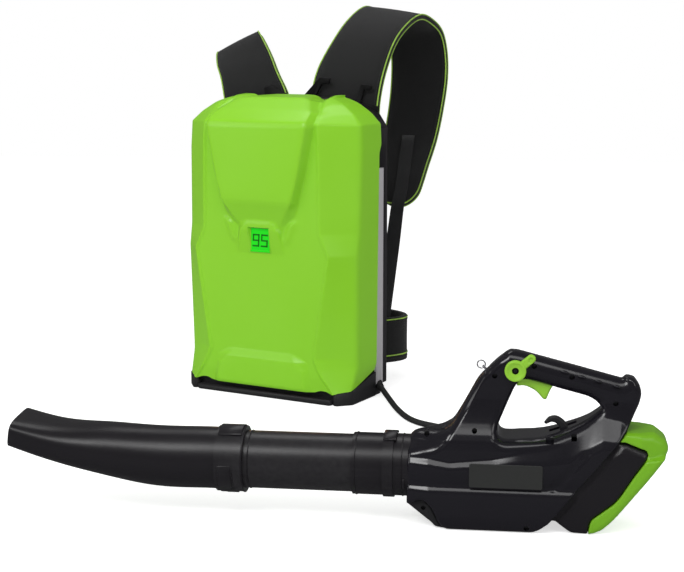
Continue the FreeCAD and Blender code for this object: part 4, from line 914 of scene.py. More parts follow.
roundedNodes = [
    ("pack_side_frame", 1.2, "greyFrame", "grey_frame"), ("strap_anchor_left", 0.9, "deepBlack", "black_matte"),
    ("strap_anchor_right", 0.9, "deepBlack", "black_matte"), ("strap_buckles", 0.4, "matteBlack", "black_matte"),
    ("belt_buckle_socket", 0.8, "matteBlack", "black_matte"),
    ("belt_buckle_tongue", 0.8, "matteBlack", "black_matte"),
    ("pack_back_shell", 1.6, "satinBlack", "black_satin"),
]


def makeRounded():  # CAD solids again with their edges rounded
    for node, width, finish, slot in roundedNodes:
        mesh = nodes[node].data.copy()
        mesh.transform(nodes[node].matrix_world)
        piece = addObject(node.title().replace("_", "") + "Rounded", mesh)
        reworkMesh(mesh, mergeFlats)
        breakEdges(piece, width / 1000)
        finishPiece(piece, finish, "pack", slot, node)
    print("edges broken on", len(roundedNodes), "nodes")


# Foot of the pack: a lip in front of a sunk wall, and a shoe under each corner

tray = {
    "wall": [(-168, 128), (-168, 30), (-150, 14), (-136, 16), (136, 16), (150, 14), (168, 30), (168, 128)],
    "lip": [(-141, 20), (-141, 3), (-137, -1), (137, -1), (141, 3), (141, 20)],
    "shoe": [(143, 22), (141, 8), (146, 3), (152, 3), (172, 25), (172, 110), (165, 110), (165, 34), (150, 18)],
    "base": [(-171, 130), (-171, 27), (-152, 8), (152, 8), (171, 27), (171, 130)],
    "gap": 0.4, "most": 44,
}


def makeTray():
    parts = [
        ("trayWall", tray["wall"], 3, 30, 0.8, []), ("trayLip", tray["lip"], 0, 9.5, 2.2, []),
        ("trayShoeRight", tray["shoe"], 0, 21, 1.4, []),
        ("trayShoeLeft", [(-x, y) for x, y in reversed(tray["shoe"])], 0, 21, 1.4, []),
        ("trayBase", tray["base"], 0.4, 8, 1.0, ["pack_base_tray"]),
    ]
    for name, outline, low, high, width, replaced in parts:
        piece = cutter(name, prismShape(outline, low, high))
        if name.startswith("trayShoe"):  # the shoes climb with the cover's lower edge
            for vertex in piece.data.vertices:
                if vertex.co.z > low:
                    vertex.co.z = min(lowerEdge(vertex.co.x, vertex.co.y) - tray["gap"], tray["most"])
        breakEdges(piece, width)
        placePiece(piece, "matteBlack", "pack", "black_matte", *replaced)
    print("tray made")


# Pads on the pack's back: stuffed cloth with sewn channels

pads = {
    "back_pad": {"low": (-116, 232), "high": (116, 460), "corner": 36, "rows": (278, 324, 370, 416), "spine": 15},
    "lumbar_pad": {"low": (-60, 66), "high": (60, 188), "corner": 18, "rows": (106, 148), "spine": 0},
    "rings": ((0, 0), (0, 8.25), (2.5, 13.5), (7, 15)), "voxel": 5, "front": 150.6, "back": 168.5, "pinned": 2,
    "pressure": 4, "most": 5, "frames": 20, "channel": {"deep": 6.5, "half": 3.2, "from": 6, "run": 7.5},
    "groove": {"deep": 9, "out": 4, "run": 6}, "trim": {"radius": 1.5, "out": 1.2, "back": 5.5},
}


def padOutline(look, inset=0):
    (x0, z0), (x1, z1), corner = look["low"], look["high"], look["corner"]
    x0, z0, x1, z1, corner = x0 + inset, z0 + inset, x1 - inset, z1 - inset, corner - inset
    points = []
    for cx, cz, start in ((x1 - corner, z1 - corner, 0), (x0 + corner, z1 - corner, 90),
                          (x0 + corner, z0 + corner, 180), (x1 - corner, z0 + corner, 270)):
        for turn in range(start, start + 91, 15):
            points.append((cx + corner * math.cos(math.radians(turn)), cz + corner * math.sin(math.radians(turn))))
    return points


def swell(piece, pinned, most):  # stuffing by simulation, for both pads
    group = piece.vertex_groups.new(name="pinned")
    group.add([v.index for v in piece.data.vertices if pinned(v.co)], 1, "REPLACE")
    rest = [v.co.copy() for v in piece.data.vertices]
    fabric = piece.modifiers.new("fabric", "CLOTH")
    fabric.settings.quality = 4
    fabric.settings.use_pressure = True
    fabric.settings.uniform_pressure_force = pads["pressure"]
    fabric.settings.effector_weights.gravity = 0
    fabric.settings.vertex_group_mass = "pinned"
    for moment in range(1, pads["frames"] + 1):
        scene.frame_set(moment)
    applyModifiers(piece)
    scene.frame_set(1)
    for vertex, place in zip(piece.data.vertices, rest):
        move = vertex.co - place
        if move.length > most:
            vertex.co = place + move.normalized() * most


def makePads():
    front, channel, groove, trim = (pads[key] for key in ("front", "channel", "groove", "trim"))
    for node, name in (("back_pad", "backPad"), ("lumbar_pad", "lumbarPad")):
        look = pads[node]
        points = [(x, front + back, z) for inset, back in pads["rings"] for x, z in padOutline(look, inset)]
        rows = len(pads["rings"])
        count = len(points) // rows
        ends = [tuple(range(count - 1, -1, -1)), tuple(range(len(points) - count, len(points)))]
        piece = cutter(name, (points, ringFaces(rows, count) + ends))
        toMetres(piece)
        remesh = piece.modifiers.new("even", "REMESH")
        remesh.mode = "VOXEL"
        remesh.voxel_size = pads["voxel"] / 1000
        applyModifiers(piece)
        swell(piece, lambda co: co.y < (front + pads["pinned"]) / 1000, pads["most"] / 1000)
        finer = piece.modifiers.new("finer", "SUBSURF")
        finer.levels = finer.render_levels = 1
        applyModifiers(piece)
        (x0, z0), (x1, z1) = look["low"], look["high"]
        for vertex in piece.data.vertices:
            x, y, z = vertex.co * 1000
            share = smoothStep((y - front - channel["from"]) / channel["run"])
            sunk = max(channel["deep"] * math.exp(-((z - row) / channel["half"]) ** 2) for row in look["rows"])
            if look["spine"]:
                near = smoothStep((look["spine"] + groove["out"] - abs(x)) / groove["run"])
                sunk = max(sunk, groove["deep"] * near)
            vertex.co = (min(max(x, x0), x1), min(max(y - sunk * share, front), pads["back"]), min(max(z, z0), z1))
        layer = piece.data.uv_layers.new(name="cloth")
        for loop in piece.data.loops:
            spot = piece.data.vertices[loop.vertex_index].co
            layer.data[loop.index].uv = (spot.x / 1000, spot.z / 1000)
        piece.data.polygons.foreach_set("use_smooth", [True] * len(piece.data.polygons))
        placePiece(piece, "meshCloth", "pack", "pad_fabric", node)
        edge = [(x, front + trim["back"], z) for x, z in padOutline(look, -trim["out"])]
        pipingPiece(name + "Trim", [edge + edge[:1]], trim["radius"], "tapeCloth", "pad_fabric")
    print("pads made")


# Moulded forms: an outline in X and Z with a half width at each place. Each corner of an outline gives how far it is
# rounded off, and how wide and how deep its edge falls away.

def roundCorners(outline):
    full = []
    count = len(outline)
    for k, (x, z, corner, wide, deep) in enumerate(outline):
        before, after = outline[k - 1], outline[(k + 1) % count]
        spots = []
        for other in (before, after):
            length = math.hypot(other[0] - x, other[1] - z)
            share = min(corner, length * 0.45) / length
            spots.append((x + (other[0] - x) * share, z + (other[1] - z) * share))
        if corner < 0.5:
            full.append((x, z, wide, deep))
            continue
        for step in range(5):
            t = step / 4
            a, b, c = (1 - t) ** 2, 2 * t * (1 - t), t * t
            full.append((a * spots[0][0] + b * x + c * spots[1][0], a * spots[0][1] + b * z + c * spots[1][1],
                         wide, deep))
    return full


def inside(x, z, corners):
    found = False
    for (x0, z0, *_), (x1, z1, *_) in zip(corners, corners[1:] + corners[:1]):
        if (z0 > z) != (z1 > z) and x < x0 + (z - z0) / (z1 - z0) * (x1 - x0):
            found = not found
    return found


def lineDistance(x, z, x0, z0, x1, z1):
    run = (x1 - x0) ** 2 + (z1 - z0) ** 2
    t = min(max(((x - x0) * (x1 - x0) + (z - z0) * (z1 - z0)) / run, 0), 1) if run else 0
    return math.hypot(x - x0 - (x1 - x0) * t, z - z0 - (z1 - z0) * t), t


def edgeLoss(x, z, loops):  # how much the half width falls away near the edges
    most = 0
    for corners in loops:
        for (x0, z0, w0, d0), (x1, z1, w1, d1) in zip(corners, corners[1:] + corners[:1]):
            wide = max(w0, w1)
            if min(x0, x1) - wide > x or max(x0, x1) + wide < x or min(z0, z1) - wide > z or max(z0, z1) + wide < z:
                continue
            away, t = lineDistance(x, z, x0, z0, x1, z1)
            wide, deep = w0 + (w1 - w0) * t, d0 + (d1 - d0) * t
            if away < abs(wide):
                share = 1 - away / wide
                most = max(most, deep * (1 - math.sqrt(max(1 - share * share, 0))))
    return most


def evenSpots(line, step):  # places a step apart along a line, without its last point
    spots = []
    for (x0, z0, *_), (x1, z1, *_) in zip(line, line[1:]):
        count = max(1, round(math.hypot(x1 - x0, z1 - z0) / step))
        spots += [(x0 + (x1 - x0) * k / count, z0 + (z1 - z0) * k / count) for k in range(count)]
    return spots


def fieldMesh(name, outline, holes, depth, step, lines=()):
    loops = [roundCorners(corners) for corners in (outline, *holes)]

    def within(x, z):
        return inside(x, z, loops[0]) and not any(inside(x, z, hole) for hole in loops[1:])

    spots, edges = [], []
    for corners in loops:
        first = len(spots)
        spots += evenSpots(corners + corners[:1], step)
        edges += [(k, k + 1) for k in range(first, len(spots) - 1)] + [(len(spots) - 1, first)]
    for line in lines:  # the mesh follows these creases
        first = len(spots)
        spots += evenSpots(line, step) + [line[-1]]
        edges += [(k, k + 1) for k in range(first, len(spots) - 1)]
    bounds = [f(spot[axis] for spot in spots) for axis in (0, 1) for f in (min, max)]
    for row in range(int((bounds[3] - bounds[2]) / step) + 1):
        for k in range(int((bounds[1] - bounds[0]) / step) + 1):
            x, z = bounds[0] + (k + 0.5 * (row % 2)) * step, bounds[2] + row * step
            if within(x, z):
                spots.append((x, z))
    flat = delaunay_2d_cdt([Vector(spot) for spot in spots], edges, [], 0, 0.0001)
    halves = [max(depth(x, z) - edgeLoss(x, z, loops), 0.3) for x, z in flat[0]]
    count = len(halves)
    points = [(x, half * side, z) for side in (-1, 1) for (x, z), half in zip(flat[0], halves)]
    faces, sides = [], {}
    for a, b, c in flat[2]:
        if not within(*(sum(flat[0][k][axis] for k in (a, b, c)) / 3 for axis in (0, 1))):
            continue
        faces += [(a, b, c), (c + count, b + count, a + count)]
        for pair in ((a, b), (b, c), (c, a)):
            key = tuple(sorted(pair))
            sides[key] = None if key in sides else pair
    faces += [(b, a, a + count, b + count) for a, b in filter(None, sides.values())]
    return meshObject(name, points, faces)


def roundForm(piece, voxel, rounds):  # one even skin over the form, its edges eased
    remesh = piece.modifiers.new("remesh", "REMESH")
    remesh.mode = "VOXEL"
    remesh.voxel_size = voxel
    remesh.use_smooth_shade = True
    soft = piece.modifiers.new("soften", "SMOOTH")
    soft.factor = 0.5
    soft.iterations = rounds
    applyModifiers(piece)


def cutForm(piece, tools):
    for tool in tools:
        cut = piece.modifiers.new("cut", "BOOLEAN")
        cut.object = tool
        cut.solver = "MANIFOLD"
    applyModifiers(piece)
    for tool in tools:
        bpy.data.objects.remove(tool)
    piece.data.set_sharp_from_angle(angle=sharpTurn)


def boxShape(low, high):
    xs, ys, zs = zip(low, high)
    points = [(x, y, z) for z in zs for y in ys for x in xs]
    return points, [(0, 2, 3, 1), (4, 5, 7, 6), (0, 1, 5, 4), (2, 6, 7, 3), (0, 4, 6, 2), (1, 3, 7, 5)]


def rodShape(start, way, radius, length, sides=32):
    way = Vector(way).normalized()
    first = way.orthogonal().normalized()
    second = way.cross(first)
    points = []
    for end in (0, length):
        for k in range(sides):
            turn = 2 * math.pi * k / sides
            points.append(Vector(start) + way * end + first * radius * math.cos(turn)
                          + second * radius * math.sin(turn))
    return points, ringFaces(2, sides) + [tuple(range(sides - 1, -1, -1)), tuple(range(sides, 2 * sides))]


# Housing of the blower: barrel with its shoulder, box foot, and the loop of the handle

ductHeight = 73
housing = {
    "outline": [
        (-104, 32, 0, 1.5, 1.5), (-104, 113, 5, 5, 6), (-97, 122, 5, 6, 9), (-57, 128, 8, 6, 9),
        (-46, 136, 10, 8, 12), (-14, 196, 8, 8, 11), (9, 219, 4, 9, 10), (25, 233, 6, 14, 14), (35, 233, 6, 19, 15),
        (171, 199, 3, 20, 15), (175, 203, 3, 8, 10), (186, 201.5, 4, 8, 10), (194, 190, 5, 8, 10),
        (196, 180, 5, 8, 9), (193, 168, 6, 6, 7), (177.6, 134, 2, 3, 3), (148, 98, 0, 2, 2), (80.6, 14.2, 3, 2, 2),
        (70, 5, 4, 4, 4), (60, 0, 4, 5, 5), (-52, 0, 4, 5, 5), (-60, 5, 4, 6, 6), (-72, 29, 6, 6, 6),
        (-83, 39, 5, 5, 5),
    ],
    "window": [
        (35, 190, 10, 9, 9), (10, 130, 12, 10, 11), (18, 119, 9, 12, 15), (73, 123, 18, 10.5, 15),
        (124, 143, 20, 10, 13), (147, 161, 6, 10, 11), (133, 174, 12, 18, 13), (45, 196, 12, 19, 14),
    ],
    "plan": [(-104, 0.865), (-92, 0.92), (-76, 0.985), (-60, 1), (110, 1), (200, 0.86)],
    "crease": [(-104, 95), (-74, 94.5), (-49, 90), (6, 96), (37, 104), (74, 110), (106, 121), (130, 137),
               (148, 151), (170, 147), (180, 140)],
    "drop": [(-104, 10), (6, 10), (37, 14), (74, 19), (106, 26), (148, 36), (180, 34)],
    "upper": [(60, 44.5), (92, 43.4), (105, 43), (118, 41.5), (126, 37.5), (133, 33.2), (140, 29.2), (147, 25.9),
              (154, 23.3), (161, 21.4), (170, 20.1), (180, 19.5)],
    "lower": [(0, 47), (8, 49), (18, 50.2), (46, 50.2), (52, 49.4), (55.5, 47.2), (57.5, 45.2), (61, 45.7),
              (68, 47.6), (76, 49), (86, 49.8), (130, 49.8)],
    "leaf": [(-99, 119), (-92, 126), (-55, 131), (-54, 127), (-72, 115), (-97, 113.5)],
    "facet": [(-73, 95), (-64, 101), (-52, 113), (-43, 129), (-25, 158), (-13, 184), (-5, 202)],
    "rearRib": [(128, 109), (109, 87), (94, 68), (84, 62)],
    "inner": [(-110, 36), (-100, 110), (-50, 118), (-38, 118), (-8, 186), (12, 205), (20, 208), (26, 192), (4, 138),
              (0, 116), (74, 112), (120, 128), (150, 150), (168, 144), (171, 132), (147, 102), (77, 16), (66, 5),
              (58, 4), (-50, 4), (-56, 8), (-68, 32), (-80, 42)],
    "front": ((-120, 0, ductHeight), (1, 0, 0), 41.4, 40, 64), "dock": (54, -12, 30, 38),
    "slots": {
        "triggerSlot": ((34, -9.4, 176), (88, 9.4, 206)), "triggerSwing": ((44, -9.4, 200), (87, 9.4, 212.5)),
        "releaseSlot": ((79, -6, 116), (114, 6, 150)), "notchOne": ((74.5, -60, 118), (85, -29, 124.5)),
        "notchTwo": ((107, -60, 122.5), (114, -27, 131)),
    },
    "spindle": ((34, -60, 209), (0, 1, 0), 3.2, 50),
    "vents": {"count": 5, "apart": 10, "low": (8, -26, -4), "high": (13, 26, 6)},
    "screws": [(7.5, 201), (58, 215), (106.5, 202), (163, 169), (-17, 131), (-80, 121), (52, 7)],
    "seat": {"radius": 3.4, "out": 6, "long": 13, "sunk": 7}, "screwRadius": 3.3,
    "fall": {"steep": 1.15, "bend": 0.7, "slow": 0.65}, "leafDeep": 1.6, "leafRun": 2, "step": 2, "voxel": 1.1,
    "rounds": 8, "wall": 3, "innerStep": 4,
    "strip": {"deep": 1.5, "run": 1.8, "fall": 0.8, "from": 4, "low": 95, "climb": 22},
    "rib": {"deep": 1.5, "half": 6.5, "run": 3},
}


def smoothStep(value):
    value = min(max(value, 0), 1)
    return value * value * (3 - 2 * value)


def pathDistance(x, z, path):
    return min(lineDistance(x, z, *a, *b)[0] for a, b in zip(path, path[1:]))


def housingDepth(x, z):
    look, fall = housing, housing["fall"]
    crease = along(look["crease"], x)
    if z >= crease:
        half = along(look["upper"], z)
    else:
        start = along(look["upper"], crease)
        share = min((crease - z) / along(look["drop"], x), 1)
        share = fall["steep"] * share if share < fall["bend"] else 1 - fall["slow"] * (1 - share)
        half = start + (along(look["lower"], z) - start) * share
    half *= along(look["plan"], x)
    if z > 108 and x < -50 and inside(x, z, look["leaf"]):
        rim = pathDistance(x, z, look["leaf"] + look["leaf"][:1])
        half -= look["leafDeep"] * smoothStep(rim / look["leafRun"])
    if z > 96 and x < 0 and z > along(look["facet"], x):  # the leg's front facet, with a sunk strip beside it
        strip = look["strip"]
        edge = pathDistance(x, z, look["facet"])
        sunk = strip["deep"] * min(edge / strip["run"], 1) + strip["fall"] * max(edge - strip["from"], 0)
        half -= sunk * smoothStep((z - strip["low"]) / strip["climb"])
    if z < 112 and x > 60:
        rib = look["rib"]
        half -= rib["deep"] * smoothStep((rib["half"] - pathDistance(x, z, look["rearRib"])) / rib["run"])
    return half


# Docking face of the adapter: its middle, and how far it leans back

dock = {"x": 129, "z": 74, "lean": math.radians(51), "gap": 0.3}


def dockPlace(run, out):
    ahead, aside = math.cos(dock["lean"]), math.sin(dock["lean"])
    return dock["x"] - run * ahead + out * aside, dock["z"] - run * aside - out * ahead


def dockBlock(half, start, end, wide, middle=0):
    points = []
    for y in (middle - wide, middle + wide):
        for run, out in ((-half, start), (half, start), (half, end), (-half, end)):
            x, z = dockPlace(run, out)
            points.append((x, y, z))
    return points, blockFaces


def makeHousing():
    look, seat, vents = housing, housing["seat"], housing["vents"]
    crease = look["crease"][:-2]
    lines = [[(x + dx, z + dz) for x, z in path] for path, dx, dz in (
        (look["facet"], 0, 0), (look["facet"], 1.4, -1), (look["facet"], -1.5, 1), (crease, 0, 0.05),
        (crease, 0, -0.6))]
    piece = fieldMesh("housingShell", look["outline"], [look["window"]], housingDepth, look["step"], lines)
    roundForm(piece, look["voxel"], look["rounds"])
    hollow = fieldMesh("hollow", [(x, z, 0, 1, 1) for x, z in look["inner"]], [],
                       lambda x, z: housingDepth(x, z) - look["wall"], look["innerStep"])
    cuts = [cutter("hollowCut", ([v.co for v in hollow.data.vertices],
                                 [tuple(f.vertices) for f in hollow.data.polygons]))]
    bpy.data.objects.remove(hollow)
    cuts += [cutter("front", rodShape(*look["front"])), cutter("dock", dockBlock(*look["dock"]))]
    cuts += [cutter(name, boxShape(*corners)) for name, corners in look["slots"].items()]
    cuts.append(cutter("spindle", rodShape(*look["spindle"])))
    for k in range(vents["count"]):
        shift = Vector((vents["apart"] * k, 0, 0))
        cuts.append(cutter("vent", boxShape(Vector(vents["low"]) + shift, Vector(vents["high"]) + shift)))
    screws = []
    loops = [roundCorners(look["outline"]), roundCorners(look["window"])]
    for x, z in look["screws"]:
        top = housingDepth(x, z) - edgeLoss(x, z, loops)
        cuts.append(cutter("seat", rodShape((x, -top - seat["out"], z), (0, 1, 0), seat["radius"], seat["long"])))
        screws.append((x, -top + seat["sunk"], z))
    cutForm(piece, cuts)
    placePiece(piece, "glossBlack", "blower", "black_gloss", "housing_left", "housing_right")
    print("housing made:", len(piece.data.polygons), "faces")
    makeScrews("bodyScrews", screws, look["screwRadius"], "blower", "housing_screws")
    makeRibs()


ribs = {"places": [(97, 208.5), (119, 203), (140, 197.5), (164, 191.5)], "y": -18.2, "turn": 14,
        "size": (5.2, 2.6, 2.1, 1)}


def makeRibs():  # short raised ribs along the near side of the handle
    whole = bmesh.new()
    for x, z in ribs["places"]:
        spot = Matrix.Translation((x, ribs["y"], z)) @ Matrix.Rotation(math.radians(ribs["turn"]), 4, "Y")
        bmesh.ops.create_uvsphere(whole, u_segments=24, v_segments=14, radius=1,
                                  matrix=spot @ Matrix.Diagonal(ribs["size"]))
    for face in whole.faces:
        face.smooth = True
    mesh = bpy.data.meshes.new("handleRibs")
    whole.to_mesh(mesh)
    whole.free()
    placePiece(addObject("handleRibs", mesh), "glossBlack", "blower", "black_gloss")


screwHead = [(1, 0), (1, -1.2), (0.86, -1.9), (0.5, -2.1), (0.46, -0.9)]  # share of the radius, and how far out


def makeScrews(name, places, radius, body, *replaced):  # pan heads with a round socket, facing -Y
    points, faces, sides = [], [], 24
    for x, y, z in places:
        ends = [tuple(range((len(screwHead) - 1) * sides, len(screwHead) * sides))]
        faces += [tuple(len(points) + k for k in face) for face in ringFaces(len(screwHead), sides) + ends]
        for share, out in screwHead:
            for k in range(sides):
                turn = 2 * math.pi * k / sides
                points.append((x + radius * share * math.cos(turn), y + out, z + radius * share * math.sin(turn)))
    placePiece(meshObject(name, points, faces, smooth=False), "darkSteel", body, "steel", *replaced)


# Moulded pieces: outline, half width at a place, the mesh's step, the skin's voxel and rounds, where they belong

case = {"half": 41.4, "ridge": [(146, 98), (172, 108), (202, 103)], "taper": 0.32,
        "rim": {"deep": 1.6, "wide": 9, "run": 3}}
lid = {"half": 43.2, "crease": [(198, 98), (214, 101), (240, 104)], "step": 1, "taper": 0.12,
       "corner": {"from": 196, "taper": 0.42, "run": 3}}
lever = {"half": 4.6, "hollow": (54, 223), "deep": 1.6, "wide": 5, "run": 3}


def caseDepth(x, z):
    rim = case["rim"]
    away = (x - dock["x"]) * math.sin(dock["lean"]) - (z - dock["z"]) * math.cos(dock["lean"])
    above = z - along(case["ridge"], x)
    return case["half"] - case["taper"] * max(above, 0) - rim["deep"] * smoothStep((rim["wide"] - away) / rim["run"])


def lidDepth(x, z):
    corner = lid["corner"]
    above = z - along(lid["crease"], x)
    turned = corner["taper"] * max(x - corner["from"], 0) * smoothStep(above / corner["run"])
    return lid["half"] - (lid["taper"] * above + lid["step"] if above > 0 else 0) - turned


def leverDepth(x, z):
    away = math.dist((x, z), lever["hollow"])
    return lever["half"] - lever["deep"] * smoothStep((lever["wide"] - away) / lever["run"])


forms = {
    "adapterBody": {
        "outline": [
            (160, 122.6, 0, 3, 2), (175.9, 122.6, 3, 8, 7), (201.6, 112.6, 3, 9, 8), (204.4, 107.2, 2, 7, 4),
            (200.4, 97.4, 3, 5, 3), (189.5, 82.4, 6, 4, 3), (166.6, 44.6, 8, 4, 3), (133.6, 18.4, 6, 4, 3),
            (130.6, 0, 2, 4, 3), (109, 0, 5, 5, 5), (98, 8, 4, 5, 5), (89, 15, 3, 5, 5), (76, 14.5, 0, 3, 3),
        ],
        "half": caseDepth, "step": 2.2, "voxel": 1.2, "rounds": 3,
        "place": ("satinBlack", "adapter", "black_satin", "adapter_case"),
    },
    "adapterLid": {
        "outline": [
            (170, 134, 2, 4, 4), (213, 134, 5, 11, 12), (229, 122, 5, 9, 10), (232, 110, 6, 8, 8),
            (210, 78, 20, 8, 8), (163, 18, 14, 8, 8), (148, 4, 6, 8, 8), (136, 0, 3, 6, 6), (131, 0, 1, 2, 1),
            (134, 18, 6, 1.5, 1), (167, 44, 12, 1.5, 1), (190, 82, 10, 1.5, 1), (201, 97, 4, 1.5, 1),
            (205, 107, 2, 1.5, 1), (202, 113, 2, 1.5, 1), (176, 123, 2, 1.5, 1), (160, 123, 1, 1.5, 1),
        ],
        "half": lidDepth, "step": 2.2, "voxel": 1.2, "rounds": 3,
        # The lid takes the darker green, which carries painted shade.
        "place": ("limeLidPaintedShade", "adapter", "green_parts", "adapter_cover"),
    },
    "chinPiece": {
        "outline": [
            (-104.5, 31, 1, 1, 1), (-84, 38.3, 3, 1, 1), (-72.6, 28.4, 3, 1, 1), (-60.8, 4.6, 1, 1, 1),
            (-54, 0.4, 0, 1, 1), (-66, 1, 2, 4, 5), (-74, 8, 2, 5, 7), (-104.5, 30, 0, 5, 6),
        ],
        "half": lambda x, z: along([(-106, 35), (-76, 40.5), (-50, 41)], x), "step": 1.5, "voxel": 0.9, "rounds": 2,
        "rods": [((-120, 0, ductHeight), (1, 0, 0), 46.9, 100, 64), ((-82, -50, 26.5), (0, 1, 0), 3.2, 16)],
        "place": ("matteBlack", "blower", "black_matte", "chin_guard"),
    },
    "triggerPiece": {
        "outline": [
            (36, 186, 0, 2, 2), (36, 204, 0, 2, 2), (56, 204, 2, 2, 2), (82, 199, 2, 2, 2), (83, 187, 3, 3, 4),
            (80, 183, 8, 3, 4), (74, 168, 2, 3, 4), (70, 169, 2, 3, 4), (61, 180, 8, 3, 4), (47, 186.5, 5, 3, 4),
        ],
        "half": lambda x, z: 8.5, "step": 1.5, "voxel": 0.6, "rounds": 4,
        "place": ("limeParts", "trigger", "green_parts", "trigger"),
    },
    "releasePiece": {
        "outline": [
            (94, 112, 1, 2, 2), (105, 111, 1, 2, 2), (107, 121, 4, 2, 2), (105, 131, 5, 2, 2),
            (98, 141, 6, 2, 2.5), (88, 147, 5, 2, 2.5), (78, 145, 4, 2, 2.5), (72, 137, 1, 2, 2),
            (75, 135, 1, 2, 2), (82, 139, 4, 2, 2), (90, 136, 4, 2, 2), (94, 126, 4, 2, 2),
        ],
        "half": lambda x, z: 5, "step": 1.5, "voxel": 0.5, "rounds": 3,
        "place": ("matteBlack", "release_lever", "black_matte", "release_lever"),
    },
}
tongue = {"block": (37, -28, 2, 30), "edge": 2.5, "sockets": (-21, -8, 5, 18), "socket": (13, -34, -12, 1.7)}


def splitAtDock(whole):
    x, z = dockPlace(0, dock["gap"])
    lean = (-math.sin(dock["lean"]), 0, math.cos(dock["lean"]))
    cut = bmesh.ops.bisect_plane(whole, geom=whole.verts[:] + whole.edges[:] + whole.faces[:], dist=0.0001,
                                 plane_co=(x, 0, z), plane_no=lean, clear_outer=True)
    rim = [edge for edge in cut["geom_cut"] if isinstance(edge, bmesh.types.BMEdge)]
    bmesh.ops.holes_fill(whole, edges=rim, sides=0)


def makeForm(name):
    look = forms[name]
    piece = fieldMesh(name, look["outline"], [], look["half"], look["step"])
    roundForm(piece, look["voxel"], look["rounds"])
    if name.startswith("adapter"):
        reworkMesh(piece.data, splitAtDock)
        piece.data.set_sharp_from_angle(angle=math.radians(35))
    if "rods" in look:
        cutForm(piece, [cutter("rod", rodShape(*rod)) for rod in look["rods"]])
    placePiece(piece, *look["place"])


def makeAdapter():
    makeForm("adapterBody")
    piece = meshObject("adapterTongue", *dockBlock(*tongue["block"]))
    edge = piece.modifiers.new("edge", "BEVEL")
    edge.width = tongue["edge"]
    edge.segments = 3
    applyModifiers(piece)
    cutForm(piece, [cutter("socket", dockBlock(*tongue["socket"], y)) for y in tongue["sockets"]])
    placePiece(piece, "satinBlack", "adapter", "black_satin", "adapter_case")
    makeForm("adapterLid")
    print("adapter made")


def makeSmallForms():
    for name in ("chinPiece", "triggerPiece", "releasePiece"):
        makeForm(name)
    print("small forms made")


# Raised plates on the collars: ends along X, inner and outer radius, and the turn from the near side upwards

collarPlates = [
    ("collarSaddle", "nozzle", -358, -326, 43.4, 46.2, 58, 122),
    ("collarLatch", "nozzle", -356, -338, 43.4, 45.0, -80, 2),
    ("collarStop", "nozzle", -336.8, -335.6, 43.6, 44.7, -52, -4),
    ("collarLip", "nozzle", -325, -323.2, 43.4, 44.9, 0, 360),
    ("tubeBead", "blower", -317, -315.4, 38.2, 39.3, 0, 360),
    ("bandSaddle", "blower", -137, -119.5, 42.8, 45.4, 60, 120),
    ("frontBead", "blower", -174, -172.4, 40.9, 42.1, 0, 360),
    ("backBead", "blower", -112, -110.6, 40.9, 42.2, 0, 360),
    ("backStop", "blower", -110.6, -106.5, 40.9, 42.6, -34, -12),
]
plate = {"ringSteps": 96, "leastSteps": 4, "turn": 4, "edge": 0.8, "edgeShare": 0.4}


def makeCollarPlates():
    for name, body, x0, x1, r0, r1, start, end in collarPlates:
        whole = end - start == 360
        steps = plate["ringSteps"] if whole else max(plate["leastSteps"], round((end - start) / plate["turn"]))
        points = []
        for k in range(steps if whole else steps + 1):
            turn = math.radians(start + (end - start) * k / steps)
            for x, radius in ((x0, r0), (x0, r1), (x1, r1), (x1, r0)):
                points.append((x, -radius * math.cos(turn), ductHeight + radius * math.sin(turn)))
        count = len(points)
        faces = [tuple(spot % count for spot in face) for face in ringFaces(steps + 1, 4)]
        if not whole:
            faces += [(3, 2, 1, 0), tuple(range(count - 4, count))]
        piece = cutter(name, (points, faces))
        breakEdges(piece, min(plate["edge"], (r1 - r0) * plate["edgeShare"]))
        piece.data.polygons.foreach_set("use_smooth", [True] * len(piece.data.polygons))
        placePiece(piece, "satinBlack", body, "black_satin")
    print("collar plates made")


cruise = {
    "x": 34, "z": 209, "plane": 19.8, "sides": 72, "least": 0.05,
    "profile": [(0, 1.2), (4.4, 1.2), (4.6, 4.1), (5.6, 4.6), (9.6, 4.5), (10.4, 5.4), (12.8, 5.6), (13.7, 4.9),
                (13.9, 3.8), (13.9, 0)],
    "lever": [(36, 217.5, 2, 2.5, 2.5), (45, 210, 2, 2.5, 2.5), (60, 223, 4, 2.5, 2.5), (59.5, 229, 3, 2.5, 2.5),
              (53, 232, 3, 2.5, 2.5)],
    # holeShadeDisc and holeShadeOut place the deep black disc that paints the shade in the dial's hollow.
    "step": 1, "voxel": 0.45, "rounds": 3, "spindle": (3, 8), "spindleY": -20, "holeShadeDisc": (4.3, 1.2),
    "holeShadeOut": 2.1, "screwOut": 1.4, "screwRadius": 2.3,
}


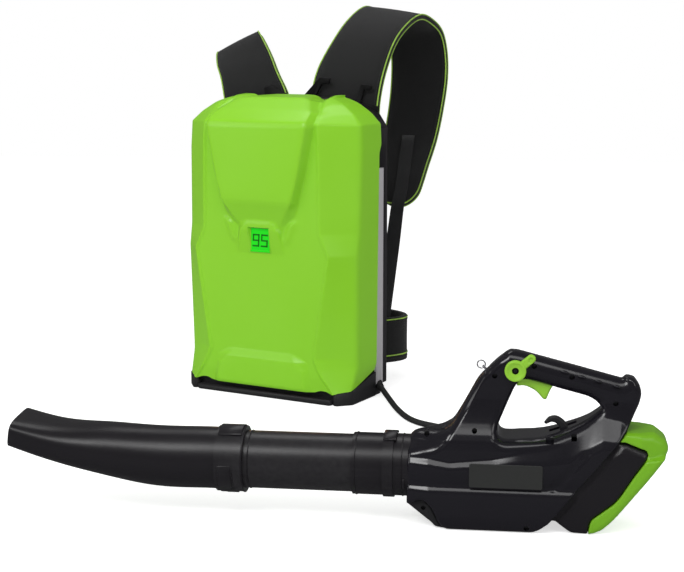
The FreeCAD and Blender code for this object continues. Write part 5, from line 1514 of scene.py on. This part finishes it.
def makeCruise():
    look = cruise
    x, y, z, sides = look["x"], -look["plane"], look["z"], look["sides"]
    points = []
    for radius, out in look["profile"]:
        for k in range(sides):
            turn = 2 * math.pi * k / sides
            size = max(radius, look["least"])
            points.append((x + size * math.cos(turn), y - out, z + size * math.sin(turn)))
    ends = [tuple(range(sides)), tuple(range(len(points) - 1, len(points) - sides - 1, -1))]
    disc = meshObject("cruiseDisc", points, ringFaces(len(look["profile"]), sides) + ends)
    disc.data.set_sharp_from_angle(angle=math.radians(50))
    arm = fieldMesh("cruiseLever", look["lever"], [], leverDepth, look["step"])
    for vertex in arm.data.vertices:
        vertex.co.y = y + min(vertex.co.y, 0)
    roundForm(arm, look["voxel"], look["rounds"])
    spindle = cutter("cruiseSpindle", rodShape((x, look["spindleY"], z), (0, 1, 0), *look["spindle"]))
    # A deep black disc in the dial's hollow round the screw: painted shade for the hollow's dark centre.
    holeShadeDisc = cutter("cruiseHoleShade", rodShape((x, y - look["holeShadeOut"], z), (0, 1, 0), *look["holeShadeDisc"]))
    placePiece(holeShadeDisc, "deepBlack", "cruise_lever", "green_parts")
    makeScrews("cruiseScrew", [(x, y - look["screwOut"], z)], look["screwRadius"], "cruise_lever")
    for piece in (disc, arm, spindle):
        placePiece(piece, "limeParts", "cruise_lever", "green_parts", "cruise_lever")
    print("cruise lever made")


badge = {"low": (-22.5, 60), "high": (71.5, 91.5), "corner": 3, "out": 49.9,
         "rings": ((0, -0.6), (0, 0.6), (0.4, 0.9))}


def makeBadge():  # a bare plate that lies on the housing's side
    (x0, z0), (x1, z1) = badge["low"], badge["high"]
    cx, cz = (x0 + x1) / 2, (z0 + z1) / 2
    outline = roundCorners([(x, z, badge["corner"], 1, 1) for x, z in ((x0, z0), (x1, z0), (x1, z1), (x0, z1))])
    points = []
    for inset, rise in badge["rings"]:
        for x, z, *_ in outline:
            points.append((x - math.copysign(inset, x - cx), -badge["out"] - rise, z - math.copysign(inset, z - cz)))
    count, rows = len(outline), len(badge["rings"])
    faces = ringFaces(rows, count) + [tuple(range((rows - 1) * count, rows * count))]
    placePiece(cutter("badgePlate", (points, faces)), "badgePlate", "blower", "black_gloss")


makeCamera()
makeStudio()
dressNodes()
makeCord()
makeCover()
makeDisplay()
makeStraps()
makeBelt()
makeTapes()
makeBeltWebbing()
makePads()
makeRounded()
makeTray()
makeHousing()
makeAdapter()
makeSmallForms()
makeCollarPlates()
makeCruise()
makeBadge()
